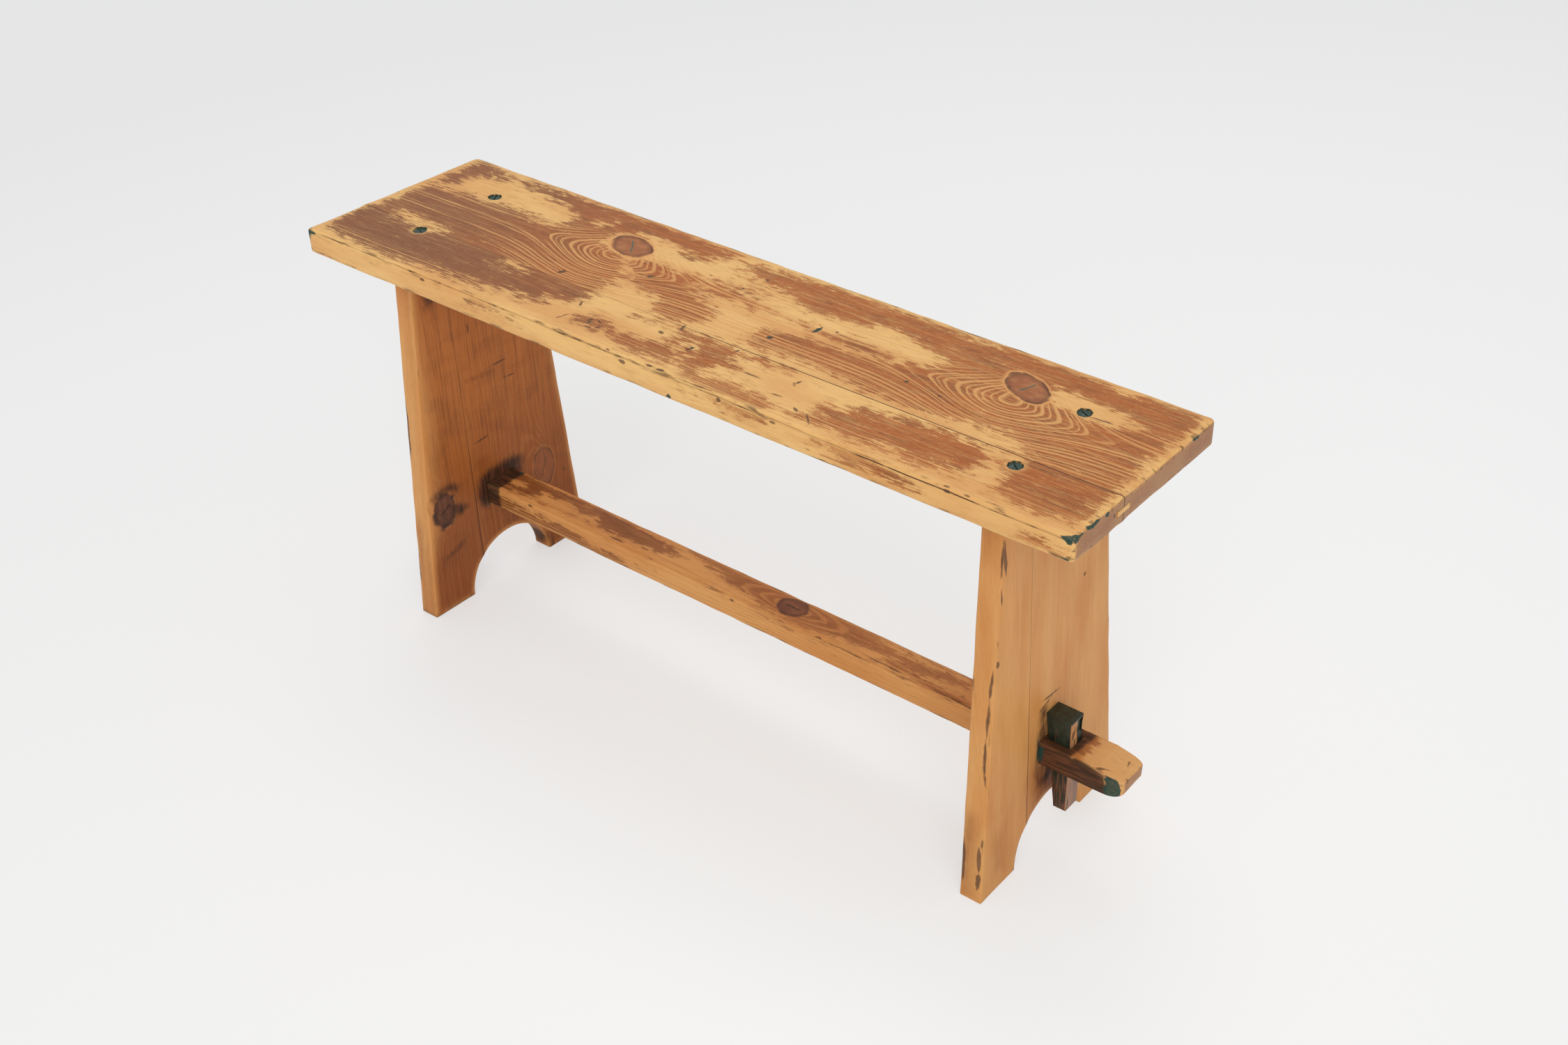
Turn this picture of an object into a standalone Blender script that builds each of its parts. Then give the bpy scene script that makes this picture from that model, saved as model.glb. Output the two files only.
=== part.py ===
"""A wooden bench: a two-board seat screwed down on two board legs, tied by a wedged stretcher.

Metres, +Z up. +X runs along the seat to its right end, +Y to its back edge, and the origin is on the
floor under the middle of the seat.
"""

from math import cos, pi, radians, sin

import bmesh
import bpy
from mathutils import Matrix

# The seat
SEAT_LENGTH = 0.960
SEAT_WIDTH = 0.244
SEAT_THICKNESS = 0.027
SEAT_HEIGHT = 0.464
SEAT_CORNER_RADIUS = 0.007
SEAT_ARRIS = 0.003
# How much of the width is the front board. The boards of both legs meet on the same line.
FRONT_BOARD_SHARE = 0.33

# The legs: boards that widen to the floor, with an arch cut between their two feet. The feet come
# out nearly to the seat's edges, and each edge draws in by the taper on its way up.
LEG_THICKNESS = 0.0255
LEG_INSET = 0.0895
FOOT_SETBACK = 0.0005
LEG_TAPER = 0.036
LEG_ARRIS = 0.0015
ARCH_RADIUS = 0.061
# How far each foot stands further out than the top of its leg: the old bench has racked a little
LEFT_LEAN = 0.0
RIGHT_LEAN = 0.0158

# The loose tongues that line up the boards at each seam
TONGUE_WIDTH = 0.019
TONGUE_THICKNESS = 0.005
TONGUE_SIDE_PLAY = 0.001

# The stretcher, a rail that runs through both legs
STRETCHER_WIDTH = 0.0435
STRETCHER_DEPTH = 0.028
STRETCHER_TOP = 0.138
TIP_PAST_SEAT = 0.0165
STRETCHER_ARRIS = 0.0012
TIP_ROUND_LENGTH = 0.018
TIP_ROUND_INSET = 0.006
TIP_SLOPE_LENGTH = 0.032
TIP_SLOPE_DROP = 0.0055
TIP_HEEL_LENGTH = 0.022
TIP_HEEL_RISE = 0.009

# The wedges, driven down through the stretcher outside each leg
WEDGE_WIDTH = 0.022
WEDGE_HEAD = 0.030
WEDGE_POINT = 0.0155
WEDGE_ABOVE = 0.030
WEDGE_BELOW = 0.056
WEDGE_ARRIS = 0.0008
# How far the wedge's slot reaches back behind the leg's outer face, so that the wedge bears on the leg
SLOT_SETBACK = 0.004

# The screws that hold the seat to the end grain of the legs
SCREW_LENGTH = 0.070
SCREW_SHANK_LENGTH = 0.032
SCREW_SHANK_RADIUS = 0.003
SCREW_CORE_RADIUS = 0.0022
SCREW_POINT_LENGTH = 0.008
SCREW_HEAD_RADIUS = 0.0062
SCREW_HEAD_RIM = 0.0004
SCREW_SLOT_WIDTH = 0.0014
SCREW_SLOT_DEPTH = 0.0013
SCREW_SUNK = 0.0015
RECESS_RADIUS = 0.007
# Where each screw stands: outwards as a share of the leg's thickness from the middle of it, and
# backwards as a share of the leg's top width from the middle of it. They were set by eye.
SCREW_PLACE_SHARES = {
    "left_front": (0.20, -0.2895),
    "left_rear": (0.20, 0.337),
    "right_front": (0.03, -0.3275),
    "right_rear": (0.03, 0.337),
}

# Clearances
GAP = 0.0003
OVERRUN = 0.010
MERGE = 0.00001

# Facets on a full turn of each round shape
ARCH_FACETS = 48
CORNER_FACETS = 24
SCREW_FACETS = 24
# Facets across each eased arris, a quarter turn
ARRIS_FACETS = 3

# Sizes that follow from those above
LEG_HEIGHT = SEAT_HEIGHT - SEAT_THICKNESS - GAP
LEG_FOOT_WIDTH = SEAT_WIDTH - 2 * FOOT_SETBACK
LEG_TOP_WIDTH = LEG_FOOT_WIDTH - 2 * LEG_TAPER
STRETCHER_REACH = SEAT_LENGTH / 2 + TIP_PAST_SEAT
LEG_MIDDLE = SEAT_LENGTH / 2 - LEG_INSET - LEG_THICKNESS / 2
SEAM = SEAT_WIDTH * (FRONT_BOARD_SHARE - 1 / 2)
SCREW_HEAD_DEPTH = SCREW_HEAD_RIM + SCREW_HEAD_RADIUS - SCREW_SHANK_RADIUS
STRETCHER_MIDDLE = STRETCHER_TOP - STRETCHER_DEPTH / 2

SIDES = {"left": (-1, LEFT_LEAN), "right": (1, RIGHT_LEAN)}


def clear_scene():
    """Empties the scene and drops what its objects held."""
    for old in list(bpy.data.objects):
        bpy.data.objects.remove(old)
    for meshes in (bpy.data.meshes, bpy.data.materials):
        for unused in list(meshes):
            meshes.remove(unused)


def collection(name, hidden=False):
    group = bpy.data.collections.new(name)
    group.hide_render = hidden
    bpy.context.scene.collection.children.link(group)
    return group


clear_scene()
BENCH = collection("wooden_bench")
CUTTERS = collection("cutters", hidden=True)


def finish(name, colour, roughness, metallic=0.0):
    """A plain material: a base colour, how rough it is and whether it is metal."""
    made = bpy.data.materials.new(name)
    made.use_nodes = True
    shader = made.node_tree.nodes["Principled BSDF"]
    shader.inputs["Base Color"].default_value = (*colour, 1)
    shader.inputs["Roughness"].default_value = roughness
    shader.inputs["Metallic"].default_value = metallic
    made.diffuse_color = (*colour, 1)
    return made


SEAT_PINE = finish("worn seat pine", (0.56, 0.29, 0.11), 0.55)
LEG_PINE = finish("leg pine", (0.65, 0.33, 0.12), 0.55)
TONGUE_PINE = finish("raw tongue pine", (0.68, 0.42, 0.20), 0.7)
RAIL_PINE = finish("stretcher pine", (0.60, 0.31, 0.12), 0.55)
WEDGE_PAINT = finish("old green paint on wood", (0.025, 0.035, 0.025), 0.6)
SCREW_STEEL = finish("painted steel", (0.03, 0.06, 0.05), 0.45, metallic=0.4)


def put(name, mesh, group, place=(0, 0, 0), material=None):
    """An object of a mesh, at its place in a collection."""
    made = bpy.data.objects.new(name, mesh)
    made.location = place
    group.objects.link(made)
    if material:
        mesh.materials.append(material)
    if group is CUTTERS:
        made.hide_render = True
        made.display_type = "WIRE"
    return made


def box_mesh(name, low, high):
    """A box between two corners."""
    solid = bmesh.new()
    bmesh.ops.create_cube(solid, size=1)
    size = [h - l for l, h in zip(low, high)]
    middle = [(l + h) / 2 for l, h in zip(low, high)]
    bmesh.ops.transform(
        solid, matrix=Matrix.Translation(middle) @ Matrix.Diagonal((*size, 1)), verts=solid.verts
    )
    mesh = bpy.data.meshes.new(name)
    solid.to_mesh(mesh)
    solid.free()
    return mesh


def plate_mesh(name, outline, thickness):
    """A flat outline of (x, y) points made solid to a thickness, half on each side of its plane."""
    curve = bpy.data.curves.new(name, "CURVE")
    curve.dimensions = "2D"
    curve.fill_mode = "BOTH"
    curve.extrude = thickness / 2
    spline = curve.splines.new("POLY")
    spline.points.add(len(outline) - 1)
    for point, (x, y) in zip(spline.points, outline):
        point.co = (x, y, 0, 1)
    spline.use_cyclic_u = True
    drawn = bpy.data.objects.new(name, curve)
    bpy.context.scene.collection.objects.link(drawn)
    graph = bpy.context.evaluated_depsgraph_get()
    mesh = bpy.data.meshes.new_from_object(drawn.evaluated_get(graph))
    bpy.data.objects.remove(drawn)
    bpy.data.curves.remove(curve)
    solid = bmesh.new()
    solid.from_mesh(mesh)
    bmesh.ops.remove_doubles(solid, verts=solid.verts, dist=MERGE)
    bmesh.ops.dissolve_limit(
        solid, angle_limit=radians(1), verts=solid.verts, edges=solid.edges
    )
    bmesh.ops.recalc_face_normals(solid, faces=solid.faces)
    solid.to_mesh(mesh)
    solid.free()
    return mesh


def arc(centre_x, centre_y, radius_x, radius_y, first, last, facets):
    """Points on an ellipse from one angle to another, both ends included."""
    steps = max(1, round(abs(last - first) / (2 * pi) * facets))
    turns = [first + (last - first) * step / steps for step in range(steps + 1)]
    return [(centre_x + radius_x * cos(turn), centre_y + radius_y * sin(turn)) for turn in turns]


def round_arrises(piece, width):
    """Eases the square edges of a piece, and leaves the facets of its curves alone."""
    bevel = piece.modifiers.new("arrises", "BEVEL")
    bevel.width = width
    bevel.segments = ARRIS_FACETS
    bevel.limit_method = "ANGLE"
    bevel.angle_limit = radians(35)
    bevel.use_clamp_overlap = True


def boolean(piece, cutter, operation="DIFFERENCE"):
    step = piece.modifiers.new(f"{operation} {cutter.name}".lower(), "BOOLEAN")
    step.operation = operation
    step.object = cutter
    step.solver = "EXACT"


def lean_mesh(mesh, lean):
    """Leans an upright leg piece: the floor end moves along X by the lean, and the top stays."""
    slope = Matrix.Identity(4)
    slope[0][2] = -lean / LEG_HEIGHT
    mesh.transform(Matrix.Translation((lean, 0, 0)) @ slope)


def leg_outer_face(side, height):
    """X of a leg's outer face at a height over the floor."""
    outwards, lean = SIDES[side]
    return outwards * (LEG_MIDDLE + LEG_THICKNESS / 2 + lean * (1 - height / LEG_HEIGHT))


# Cutters


def seam_halves():
    """Two large boxes that saw a panel apart at the seam, and leave it a hairline wide."""
    reach = SEAT_LENGTH / 2 + OVERRUN
    low = -OVERRUN
    high = SEAT_HEIGHT + OVERRUN
    front_edge = -SEAT_WIDTH
    back_edge = SEAT_WIDTH
    front = box_mesh("front_half", (-reach, front_edge, low), (reach, SEAM - GAP / 2, high))
    rear = box_mesh("rear_half", (-reach, SEAM + GAP / 2, low), (reach, back_edge, high))
    return {
        "front": put("front_half", front, CUTTERS),
        "rear": put("rear_half", rear, CUTTERS),
    }


def tongue_box(name, length_low, length_high, play, thickness):
    """A box along X about the seam: a tongue, or with play and a gap, the groove that it sits in."""
    side = TONGUE_WIDTH / 2 + play
    return box_mesh(
        name,
        (length_low, SEAM - side, -thickness / 2),
        (length_high, SEAM + side, thickness / 2),
    )


def screw_profile(bore):
    """Half the outline of a screw under its head's top, or of the bore that it goes in.

    It runs down the outer side from the axis above to the axis below.
    """
    gap = GAP if bore else 0
    core_top = -SCREW_SHANK_LENGTH
    point_top = -SCREW_LENGTH + SCREW_POINT_LENGTH
    head = [(0, 0), (SCREW_HEAD_RADIUS, 0)]
    if bore:
        head = [
            (0, SCREW_SUNK + OVERRUN),
            (RECESS_RADIUS, SCREW_SUNK + OVERRUN),
            (RECESS_RADIUS, -SCREW_HEAD_RIM),
        ]
    return head + [
        (SCREW_HEAD_RADIUS + gap, -SCREW_HEAD_RIM - gap / 2),
        (SCREW_SHANK_RADIUS + gap, -SCREW_HEAD_DEPTH - gap / 2),
        (SCREW_SHANK_RADIUS + gap, core_top - gap),
        (SCREW_CORE_RADIUS + gap, core_top - SCREW_SHANK_RADIUS + SCREW_CORE_RADIUS - gap),
        (SCREW_CORE_RADIUS + gap, point_top),
        (0, -SCREW_LENGTH - gap),
    ]


def turned(name, profile, group, place, material=None):
    """A profile of (radius, height) points spun about its own Z axis."""
    mesh = bpy.data.meshes.new(name)
    points = [(radius, 0, height) for radius, height in profile]
    mesh.from_pydata(points, [(n, n + 1) for n in range(len(points) - 1)], [])
    made = put(name, mesh, group, place, material)
    spin = made.modifiers.new("turned", "SCREW")
    spin.angle = 2 * pi
    spin.steps = SCREW_FACETS
    spin.render_steps = SCREW_FACETS
    spin.use_merge_vertices = True
    spin.merge_threshold = MERGE
    spin.use_smooth_shade = False
    return made


def screw_place(name):
    """Where the top of a screw's head is."""
    side = name.split("_")[0]
    outwards_share, backwards_share = SCREW_PLACE_SHARES[name]
    return (
        SIDES[side][0] * (LEG_MIDDLE + outwards_share * LEG_THICKNESS),
        backwards_share * LEG_TOP_WIDTH,
        SEAT_HEIGHT - SCREW_SUNK,
    )


def screw_bores():
    return {
        name: turned(f"bore_{name}", screw_profile(bore=True), CUTTERS, screw_place(name))
        for name in SCREW_PLACE_SHARES
    }


# Pieces


def seat_outline():
    """The seat from above, with its corners rounded."""
    x = SEAT_LENGTH / 2 - SEAT_CORNER_RADIUS
    y = SEAT_WIDTH / 2 - SEAT_CORNER_RADIUS
    radius = SEAT_CORNER_RADIUS
    outline = []
    for quarter, (side, edge) in enumerate(((1, 1), (-1, 1), (-1, -1), (1, -1))):
        first = quarter * pi / 2
        outline += arc(side * x, edge * y, radius, radius, first, first + pi / 2, CORNER_FACETS)
    return outline


def make_seat(halves, bores):
    """Two boards sawn from one rounded panel, grooved for the tongue and bored for the screws."""
    middle = (0, 0, SEAT_HEIGHT - SEAT_THICKNESS / 2)
    past_end = SEAT_LENGTH / 2 + OVERRUN
    groove = put(
        "seat_groove",
        tongue_box("seat_groove", -past_end, past_end, TONGUE_SIDE_PLAY, TONGUE_THICKNESS + 2 * GAP),
        CUTTERS,
        middle,
    )
    for end, half in halves.items():
        name = f"seat_{end}_board"
        panel = plate_mesh(name, seat_outline(), SEAT_THICKNESS)
        board = put(name, panel, BENCH, middle, SEAT_PINE)
        round_arrises(board, SEAT_ARRIS)
        boolean(board, half, "INTERSECT")
        boolean(board, groove)
        for bore in bores.values():
            boolean(board, bore)
    mesh = tongue_box("seat_tongue", -SEAT_LENGTH / 2, SEAT_LENGTH / 2, 0, TONGUE_THICKNESS)
    tongue = put("seat_tongue", mesh, BENCH, middle, TONGUE_PINE)
    for bore in bores.values():
        boolean(tongue, bore)


def leg_outline():
    """A leg from its end: (y, z) points of a board that widens to its feet, with the arch between."""
    arch = arc(0, 0, ARCH_RADIUS, ARCH_RADIUS, pi, 0, ARCH_FACETS)
    return (
        [(-LEG_FOOT_WIDTH / 2, 0)]
        + arch
        + [
            (LEG_FOOT_WIDTH / 2, 0),
            (LEG_TOP_WIDTH / 2, LEG_HEIGHT),
            (-LEG_TOP_WIDTH / 2, LEG_HEIGHT),
        ]
    )


# Stands a drawn outline up: its x becomes Y, its y becomes Z and its thickness runs along X
STAND_ACROSS = Matrix(((0, 0, 1, 0), (1, 0, 0, 0), (0, 1, 0, 0), (0, 0, 0, 1)))
# The same for an outline along the bench: its x stays X, its y becomes Z
STAND_ALONG = Matrix.Rotation(pi / 2, 4, "X")


def upright_tongue(name, play, thickness, overrun):
    """The leg's tongue or its groove: it stands on the floor line at the seam, then is leaned."""
    side = TONGUE_WIDTH / 2 + play
    return box_mesh(
        name,
        (-thickness / 2, SEAM - side, -overrun),
        (thickness / 2, SEAM + side, LEG_HEIGHT + overrun),
    )


def make_leg(side, halves, bores):
    """Two tapered boards and their tongue, leaned together, with the stretcher's mortise through."""
    outwards, lean = SIDES[side]
    lean = outwards * lean
    place = (outwards * LEG_MIDDLE, 0, 0)
    groove_mesh = upright_tongue(
        f"{side}_leg_groove", TONGUE_SIDE_PLAY, TONGUE_THICKNESS + 2 * GAP, OVERRUN
    )
    lean_mesh(groove_mesh, lean)
    groove = put(groove_mesh.name, groove_mesh, CUTTERS, place)
    mortise = mortise_cutter(side)
    for end, half in halves.items():
        name = f"{side}_leg_{end}_board"
        panel = plate_mesh(name, leg_outline(), LEG_THICKNESS)
        panel.transform(STAND_ACROSS)
        lean_mesh(panel, lean)
        board = put(name, panel, BENCH, place, LEG_PINE)
        round_arrises(board, LEG_ARRIS)
        boolean(board, half, "INTERSECT")
        boolean(board, groove)
        boolean(board, mortise)
        for bore in bores:
            boolean(board, bore)
    tongue_mesh = upright_tongue(f"{side}_leg_tongue", 0, TONGUE_THICKNESS, 0)
    lean_mesh(tongue_mesh, lean)
    tongue = put(tongue_mesh.name, tongue_mesh, BENCH, place, TONGUE_PINE)
    boolean(tongue, arch_cutter(side))
    boolean(tongue, mortise)
    for bore in bores:
        boolean(tongue, bore)


def arch_cutter(side):
    """The round bar that cuts the arch's shape in the end of a tongue."""
    disc = arc(0, 0, ARCH_RADIUS, ARCH_RADIUS, 0, 2 * pi, ARCH_FACETS)[:-1]
    mesh = plate_mesh(f"{side}_arch", disc, LEG_INSET)
    mesh.transform(STAND_ACROSS)
    return put(mesh.name, mesh, CUTTERS, (SIDES[side][0] * LEG_MIDDLE, 0, 0))


def mortise_cutter(side):
    """The hole through a leg that the stretcher passes."""
    wide = STRETCHER_WIDTH / 2 + GAP
    tall = STRETCHER_DEPTH / 2 + GAP
    mesh = box_mesh(f"{side}_mortise", (-LEG_INSET, -wide, -tall), (LEG_INSET, wide, tall))
    return put(mesh.name, mesh, CUTTERS, (SIDES[side][0] * LEG_MIDDLE, 0, STRETCHER_MIDDLE))


def tip_plan():
    """The stretcher from above: the corners of both ends are worn round."""
    x = STRETCHER_REACH - TIP_ROUND_LENGTH
    y = STRETCHER_WIDTH / 2 - TIP_ROUND_INSET
    outline = []
    for quarter, (end, edge) in enumerate(((1, 1), (-1, 1), (-1, -1), (1, -1))):
        first = quarter * pi / 2
        outline += arc(
            end * x, edge * y, TIP_ROUND_LENGTH, TIP_ROUND_INSET, first, first + pi / 2, CORNER_FACETS
        )
    return outline


def tip_elevation():
    """The stretcher from the front: each end slopes down on top and is rounded up at its heel."""
    top = STRETCHER_DEPTH / 2
    heel_y = TIP_HEEL_RISE - top
    right = arc(
        STRETCHER_REACH - TIP_HEEL_LENGTH, heel_y, TIP_HEEL_LENGTH, TIP_HEEL_RISE,
        -pi / 2, 0, CORNER_FACETS,
    )
    right += [
        (STRETCHER_REACH, top - TIP_SLOPE_DROP),
        (STRETCHER_REACH - TIP_SLOPE_LENGTH, top),
    ]
    return right + [(-x, y) for x, y in reversed(right)]


def wedge_outer_face(side):
    """X of the wedge's upright outer face: the thickness of its head past the leg where they meet."""
    outwards = SIDES[side][0]
    return leg_outer_face(side, STRETCHER_TOP + WEDGE_ABOVE) + outwards * (GAP + WEDGE_HEAD)


def slot_cutter(side):
    """The slot through the stretcher's end that the wedge is driven into."""
    outwards = SIDES[side][0]
    inner = leg_outer_face(side, STRETCHER_MIDDLE) - outwards * SLOT_SETBACK
    outer = wedge_outer_face(side) + outwards * GAP
    wide = WEDGE_WIDTH / 2 + GAP
    tall = STRETCHER_DEPTH / 2 + OVERRUN
    mesh = box_mesh(
        f"{side}_slot",
        (min(inner, outer), -wide, -tall),
        (max(inner, outer), wide, tall),
    )
    return put(mesh.name, mesh, CUTTERS, (0, 0, STRETCHER_MIDDLE))


def make_stretcher():
    """The rail: where its plan and its elevation meet, with its arrises eased and two slots cut."""
    place = (0, 0, STRETCHER_MIDDLE)
    mesh = plate_mesh("stretcher", tip_plan(), STRETCHER_DEPTH + 2 * OVERRUN)
    stretcher = put("stretcher", mesh, BENCH, place, RAIL_PINE)
    side_view = plate_mesh("side_view", tip_elevation(), STRETCHER_WIDTH + 2 * OVERRUN)
    side_view.transform(STAND_ALONG)
    boolean(stretcher, put("side_view", side_view, CUTTERS, place), "INTERSECT")
    round_arrises(stretcher, STRETCHER_ARRIS)
    for side in SIDES:
        boolean(stretcher, slot_cutter(side))


def make_wedge(side):
    """A wedge: its outer face is upright against the slot, and its leg side draws in to the point."""
    outwards = SIDES[side][0]
    outline = [
        (0, WEDGE_ABOVE),
        (-WEDGE_HEAD, WEDGE_ABOVE),
        (-WEDGE_POINT, -STRETCHER_DEPTH - WEDGE_BELOW),
        (0, -STRETCHER_DEPTH - WEDGE_BELOW),
    ]
    name = f"{side}_wedge"
    mesh = plate_mesh(name, [(outwards * x, z) for x, z in outline], WEDGE_WIDTH)
    mesh.transform(STAND_ALONG)
    wedge = put(name, mesh, BENCH, (wedge_outer_face(side), 0, STRETCHER_TOP), WEDGE_PAINT)
    round_arrises(wedge, WEDGE_ARRIS)


def make_screw(name):
    """A countersunk wood screw with a slotted head. Its thread is left to the finish."""
    screw = turned(
        f"seat_screw_{name}", screw_profile(bore=False), BENCH, screw_place(name), SCREW_STEEL
    )
    past_head = SCREW_HEAD_RADIUS + OVERRUN
    mesh = box_mesh(
        f"slot_{name}",
        (-past_head, -SCREW_SLOT_WIDTH / 2, -SCREW_SLOT_DEPTH),
        (past_head, SCREW_SLOT_WIDTH / 2, OVERRUN),
    )
    boolean(screw, put(mesh.name, mesh, CUTTERS, screw_place(name)))


def make_bench():
    halves = seam_halves()
    bores = screw_bores()
    make_seat(halves, bores)
    for side in SIDES:
        make_leg(side, halves, [bore for name, bore in bores.items() if name.startswith(side)])
    make_stretcher()
    for side in SIDES:
        make_wedge(side)
    for name in SCREW_PLACE_SHARES:
        make_screw(name)


make_bench()
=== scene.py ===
# %% [markdown]
# # An old pine bench, dressed
# The joinery of this bench comes ready made as solids with real sizes. What is left is everything that
# fifty years did to it: brown stain rubbed back until it stays only in patches, knots with the grain
# flowing round them, arrises worn round, nicks, and the last of a green paint in the corners.
# This lesson makes that, piece by piece, round the solids.

# %% The solids that everything is built on
from math import cos, radians, sin

import bmesh
import bpy
from mathutils import Euler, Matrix, Vector, geometry, kdtree


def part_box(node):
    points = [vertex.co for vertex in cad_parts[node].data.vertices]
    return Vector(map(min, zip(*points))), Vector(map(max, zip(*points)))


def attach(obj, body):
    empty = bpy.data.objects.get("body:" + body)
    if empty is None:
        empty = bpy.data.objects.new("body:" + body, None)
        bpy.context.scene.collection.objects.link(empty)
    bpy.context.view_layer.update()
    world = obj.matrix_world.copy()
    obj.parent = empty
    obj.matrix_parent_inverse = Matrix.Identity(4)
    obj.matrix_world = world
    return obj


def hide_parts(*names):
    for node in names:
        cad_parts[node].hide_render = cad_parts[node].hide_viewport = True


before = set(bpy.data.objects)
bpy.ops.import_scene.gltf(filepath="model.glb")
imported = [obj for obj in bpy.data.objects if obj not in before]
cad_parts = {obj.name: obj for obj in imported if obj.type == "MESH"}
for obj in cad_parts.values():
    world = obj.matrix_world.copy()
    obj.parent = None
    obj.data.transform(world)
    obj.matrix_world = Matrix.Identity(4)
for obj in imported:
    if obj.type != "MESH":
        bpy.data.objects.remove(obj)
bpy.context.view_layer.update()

# %% [markdown]
# ## Where the faces are
# Stains and scratches are easiest to place as a maker would mark them out: in millimetres on one flat
# face. So each face that carries marks gets a name and two directions, read from the solids' boxes, and
# a small function turns a place on a face into a place in space. The right leg leans out, so its faces
# lean as well.

# %% Faces to mark out on
MM = 0.001
TOUCH = MM / 10
ARCH_SIDE = 58 * MM


def box_of(*nodes):
    """The lowest and the highest corner of some solids together."""
    corners = [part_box(node) for node in nodes]
    low = [min(corner[0][axis] for corner in corners) for axis in range(3)]
    high = [max(corner[1][axis] for corner in corners) for axis in range(3)]
    return Vector(low), Vector(high)


seat_low, seat_high = box_of("seat_front_board", "seat_rear_board")
left_low, left_high = box_of("left_leg_front_board", "left_leg_rear_board")
right_low, right_high = box_of("right_leg_front_board", "right_leg_rear_board")
rail_low, rail_high = box_of("stretcher")
seat_seam = (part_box("seat_front_board")[1].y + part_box("seat_rear_board")[0].y) / 2
leg_seam = (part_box("left_leg_front_board")[1].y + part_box("left_leg_rear_board")[0].y) / 2
leg_thickness = left_high.x - left_low.x
right_lean = (right_high.x - right_low.x - leg_thickness) / right_high.z
wedge_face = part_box("right_wedge")[1].x


def edge_slope(node, low):
    """How far back a leg's front edge goes for each metre up."""
    points = [vertex.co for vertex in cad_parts[node].data.vertices]
    top = max(point.z for point in points)
    return (min(point.y for point in points if point.z > top - MM) - low.y) / top


leg_taper = edge_slope("left_leg_front_board", left_low)
rail_points = [vertex.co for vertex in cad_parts["stretcher"].data.vertices]
slope_start = max(point.x for point in rail_points if point.z > rail_high.z - TOUCH)
slope_drop = rail_high.z - max(point.z for point in rail_points if point.x > rail_high.x - TOUCH)
slope_fall = slope_drop / (rail_high.x - slope_start)
FACES = {
    "top": lambda a, b: (a, b, seat_high.z),
    "front": lambda a, b: (a, seat_low.y, b),
    "back": lambda a, b: (a, seat_high.y, b),
    "left end": lambda a, b: (seat_low.x, a, b),
    "right end": lambda a, b: (seat_high.x, a, b),
    "left leg inside": lambda a, b: (left_high.x, a, b),
    "left leg outside": lambda a, b: (left_low.x, a, b),
    "right leg outside": lambda a, b: (right_high.x - right_lean * b, a, b),
    "right leg inside": lambda a, b: (right_high.x - leg_thickness - right_lean * b, a, b),
    "left leg front": lambda a, b: (left_high.x - a, left_low.y + leg_taper * b, b),
    "right leg front": lambda a, b: (right_high.x - right_lean * b - a, right_low.y + leg_taper * b, b),
    "stretcher top": lambda a, b: (a, b, rail_high.z),
    "tip top": lambda a, b: (a, b, rail_high.z - max(0, a - slope_start) * slope_fall),
    "stretcher front": lambda a, b: (a, rail_low.y, b),
    "stretcher back": lambda a, b: (a, rail_high.y, b),
    "left arch": lambda a, b: (left_high.x - a, ARCH_SIDE, b),
    "right wedge outside": lambda a, b: (wedge_face, a, b),
}


def on_face(face, places):
    """Places in millimetres on a named face, as points in space."""
    return [Vector(FACES[face](a * MM, b * MM)) for a, b in places]


print("the seams are at y =", round(seat_seam / MM, 2), "and", round(leg_seam / MM, 2), "mm")
print("the right leg leans out", round(right_lean * right_high.z / MM, 1), "mm over its height")
print("the legs' front edges go back", round(leg_taper * left_high.z / MM, 1), "mm to the top")

# %% [markdown]
# ## Camera
# The camera stands in front of the right end and looks down on the seat. It was found by matching the
# bench's corners to where they should be in the picture. The picture's centre doesn't lie on the lens's
# axis, so a small shift moves it there.

# %% The camera
CAMERA_PLACE = (1.10044, -1.21461, 1.31768)
CAMERA_TURN = (55.264, -1.186, 35.594)
CAMERA_LENS = 42.665
CAMERA_SHIFT = (-0.0963, 0.0175)

view = bpy.data.cameras.new("view")
view.lens = CAMERA_LENS
view.shift_x, view.shift_y = CAMERA_SHIFT
camera = bpy.data.objects.new("camera", view)
camera.location = CAMERA_PLACE
camera.rotation_euler = Euler([radians(turn) for turn in CAMERA_TURN])
bpy.context.scene.collection.objects.link(camera)
bpy.context.scene.camera = camera
print("the camera stands", round(camera.location.length, 2), "m from the spot on the floor under the bench")

# %% [markdown]
# ## Writing node trees as sums
# A wood grain is a formula, and a node tree full of Math nodes hides it. This small class stands for a
# value on its way through a tree. Adding or multiplying it adds the node and its links, so that the
# formula can be read in the script and the tree is still an ordinary one that can be opened and edited.

# %% A value in a node tree


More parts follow.
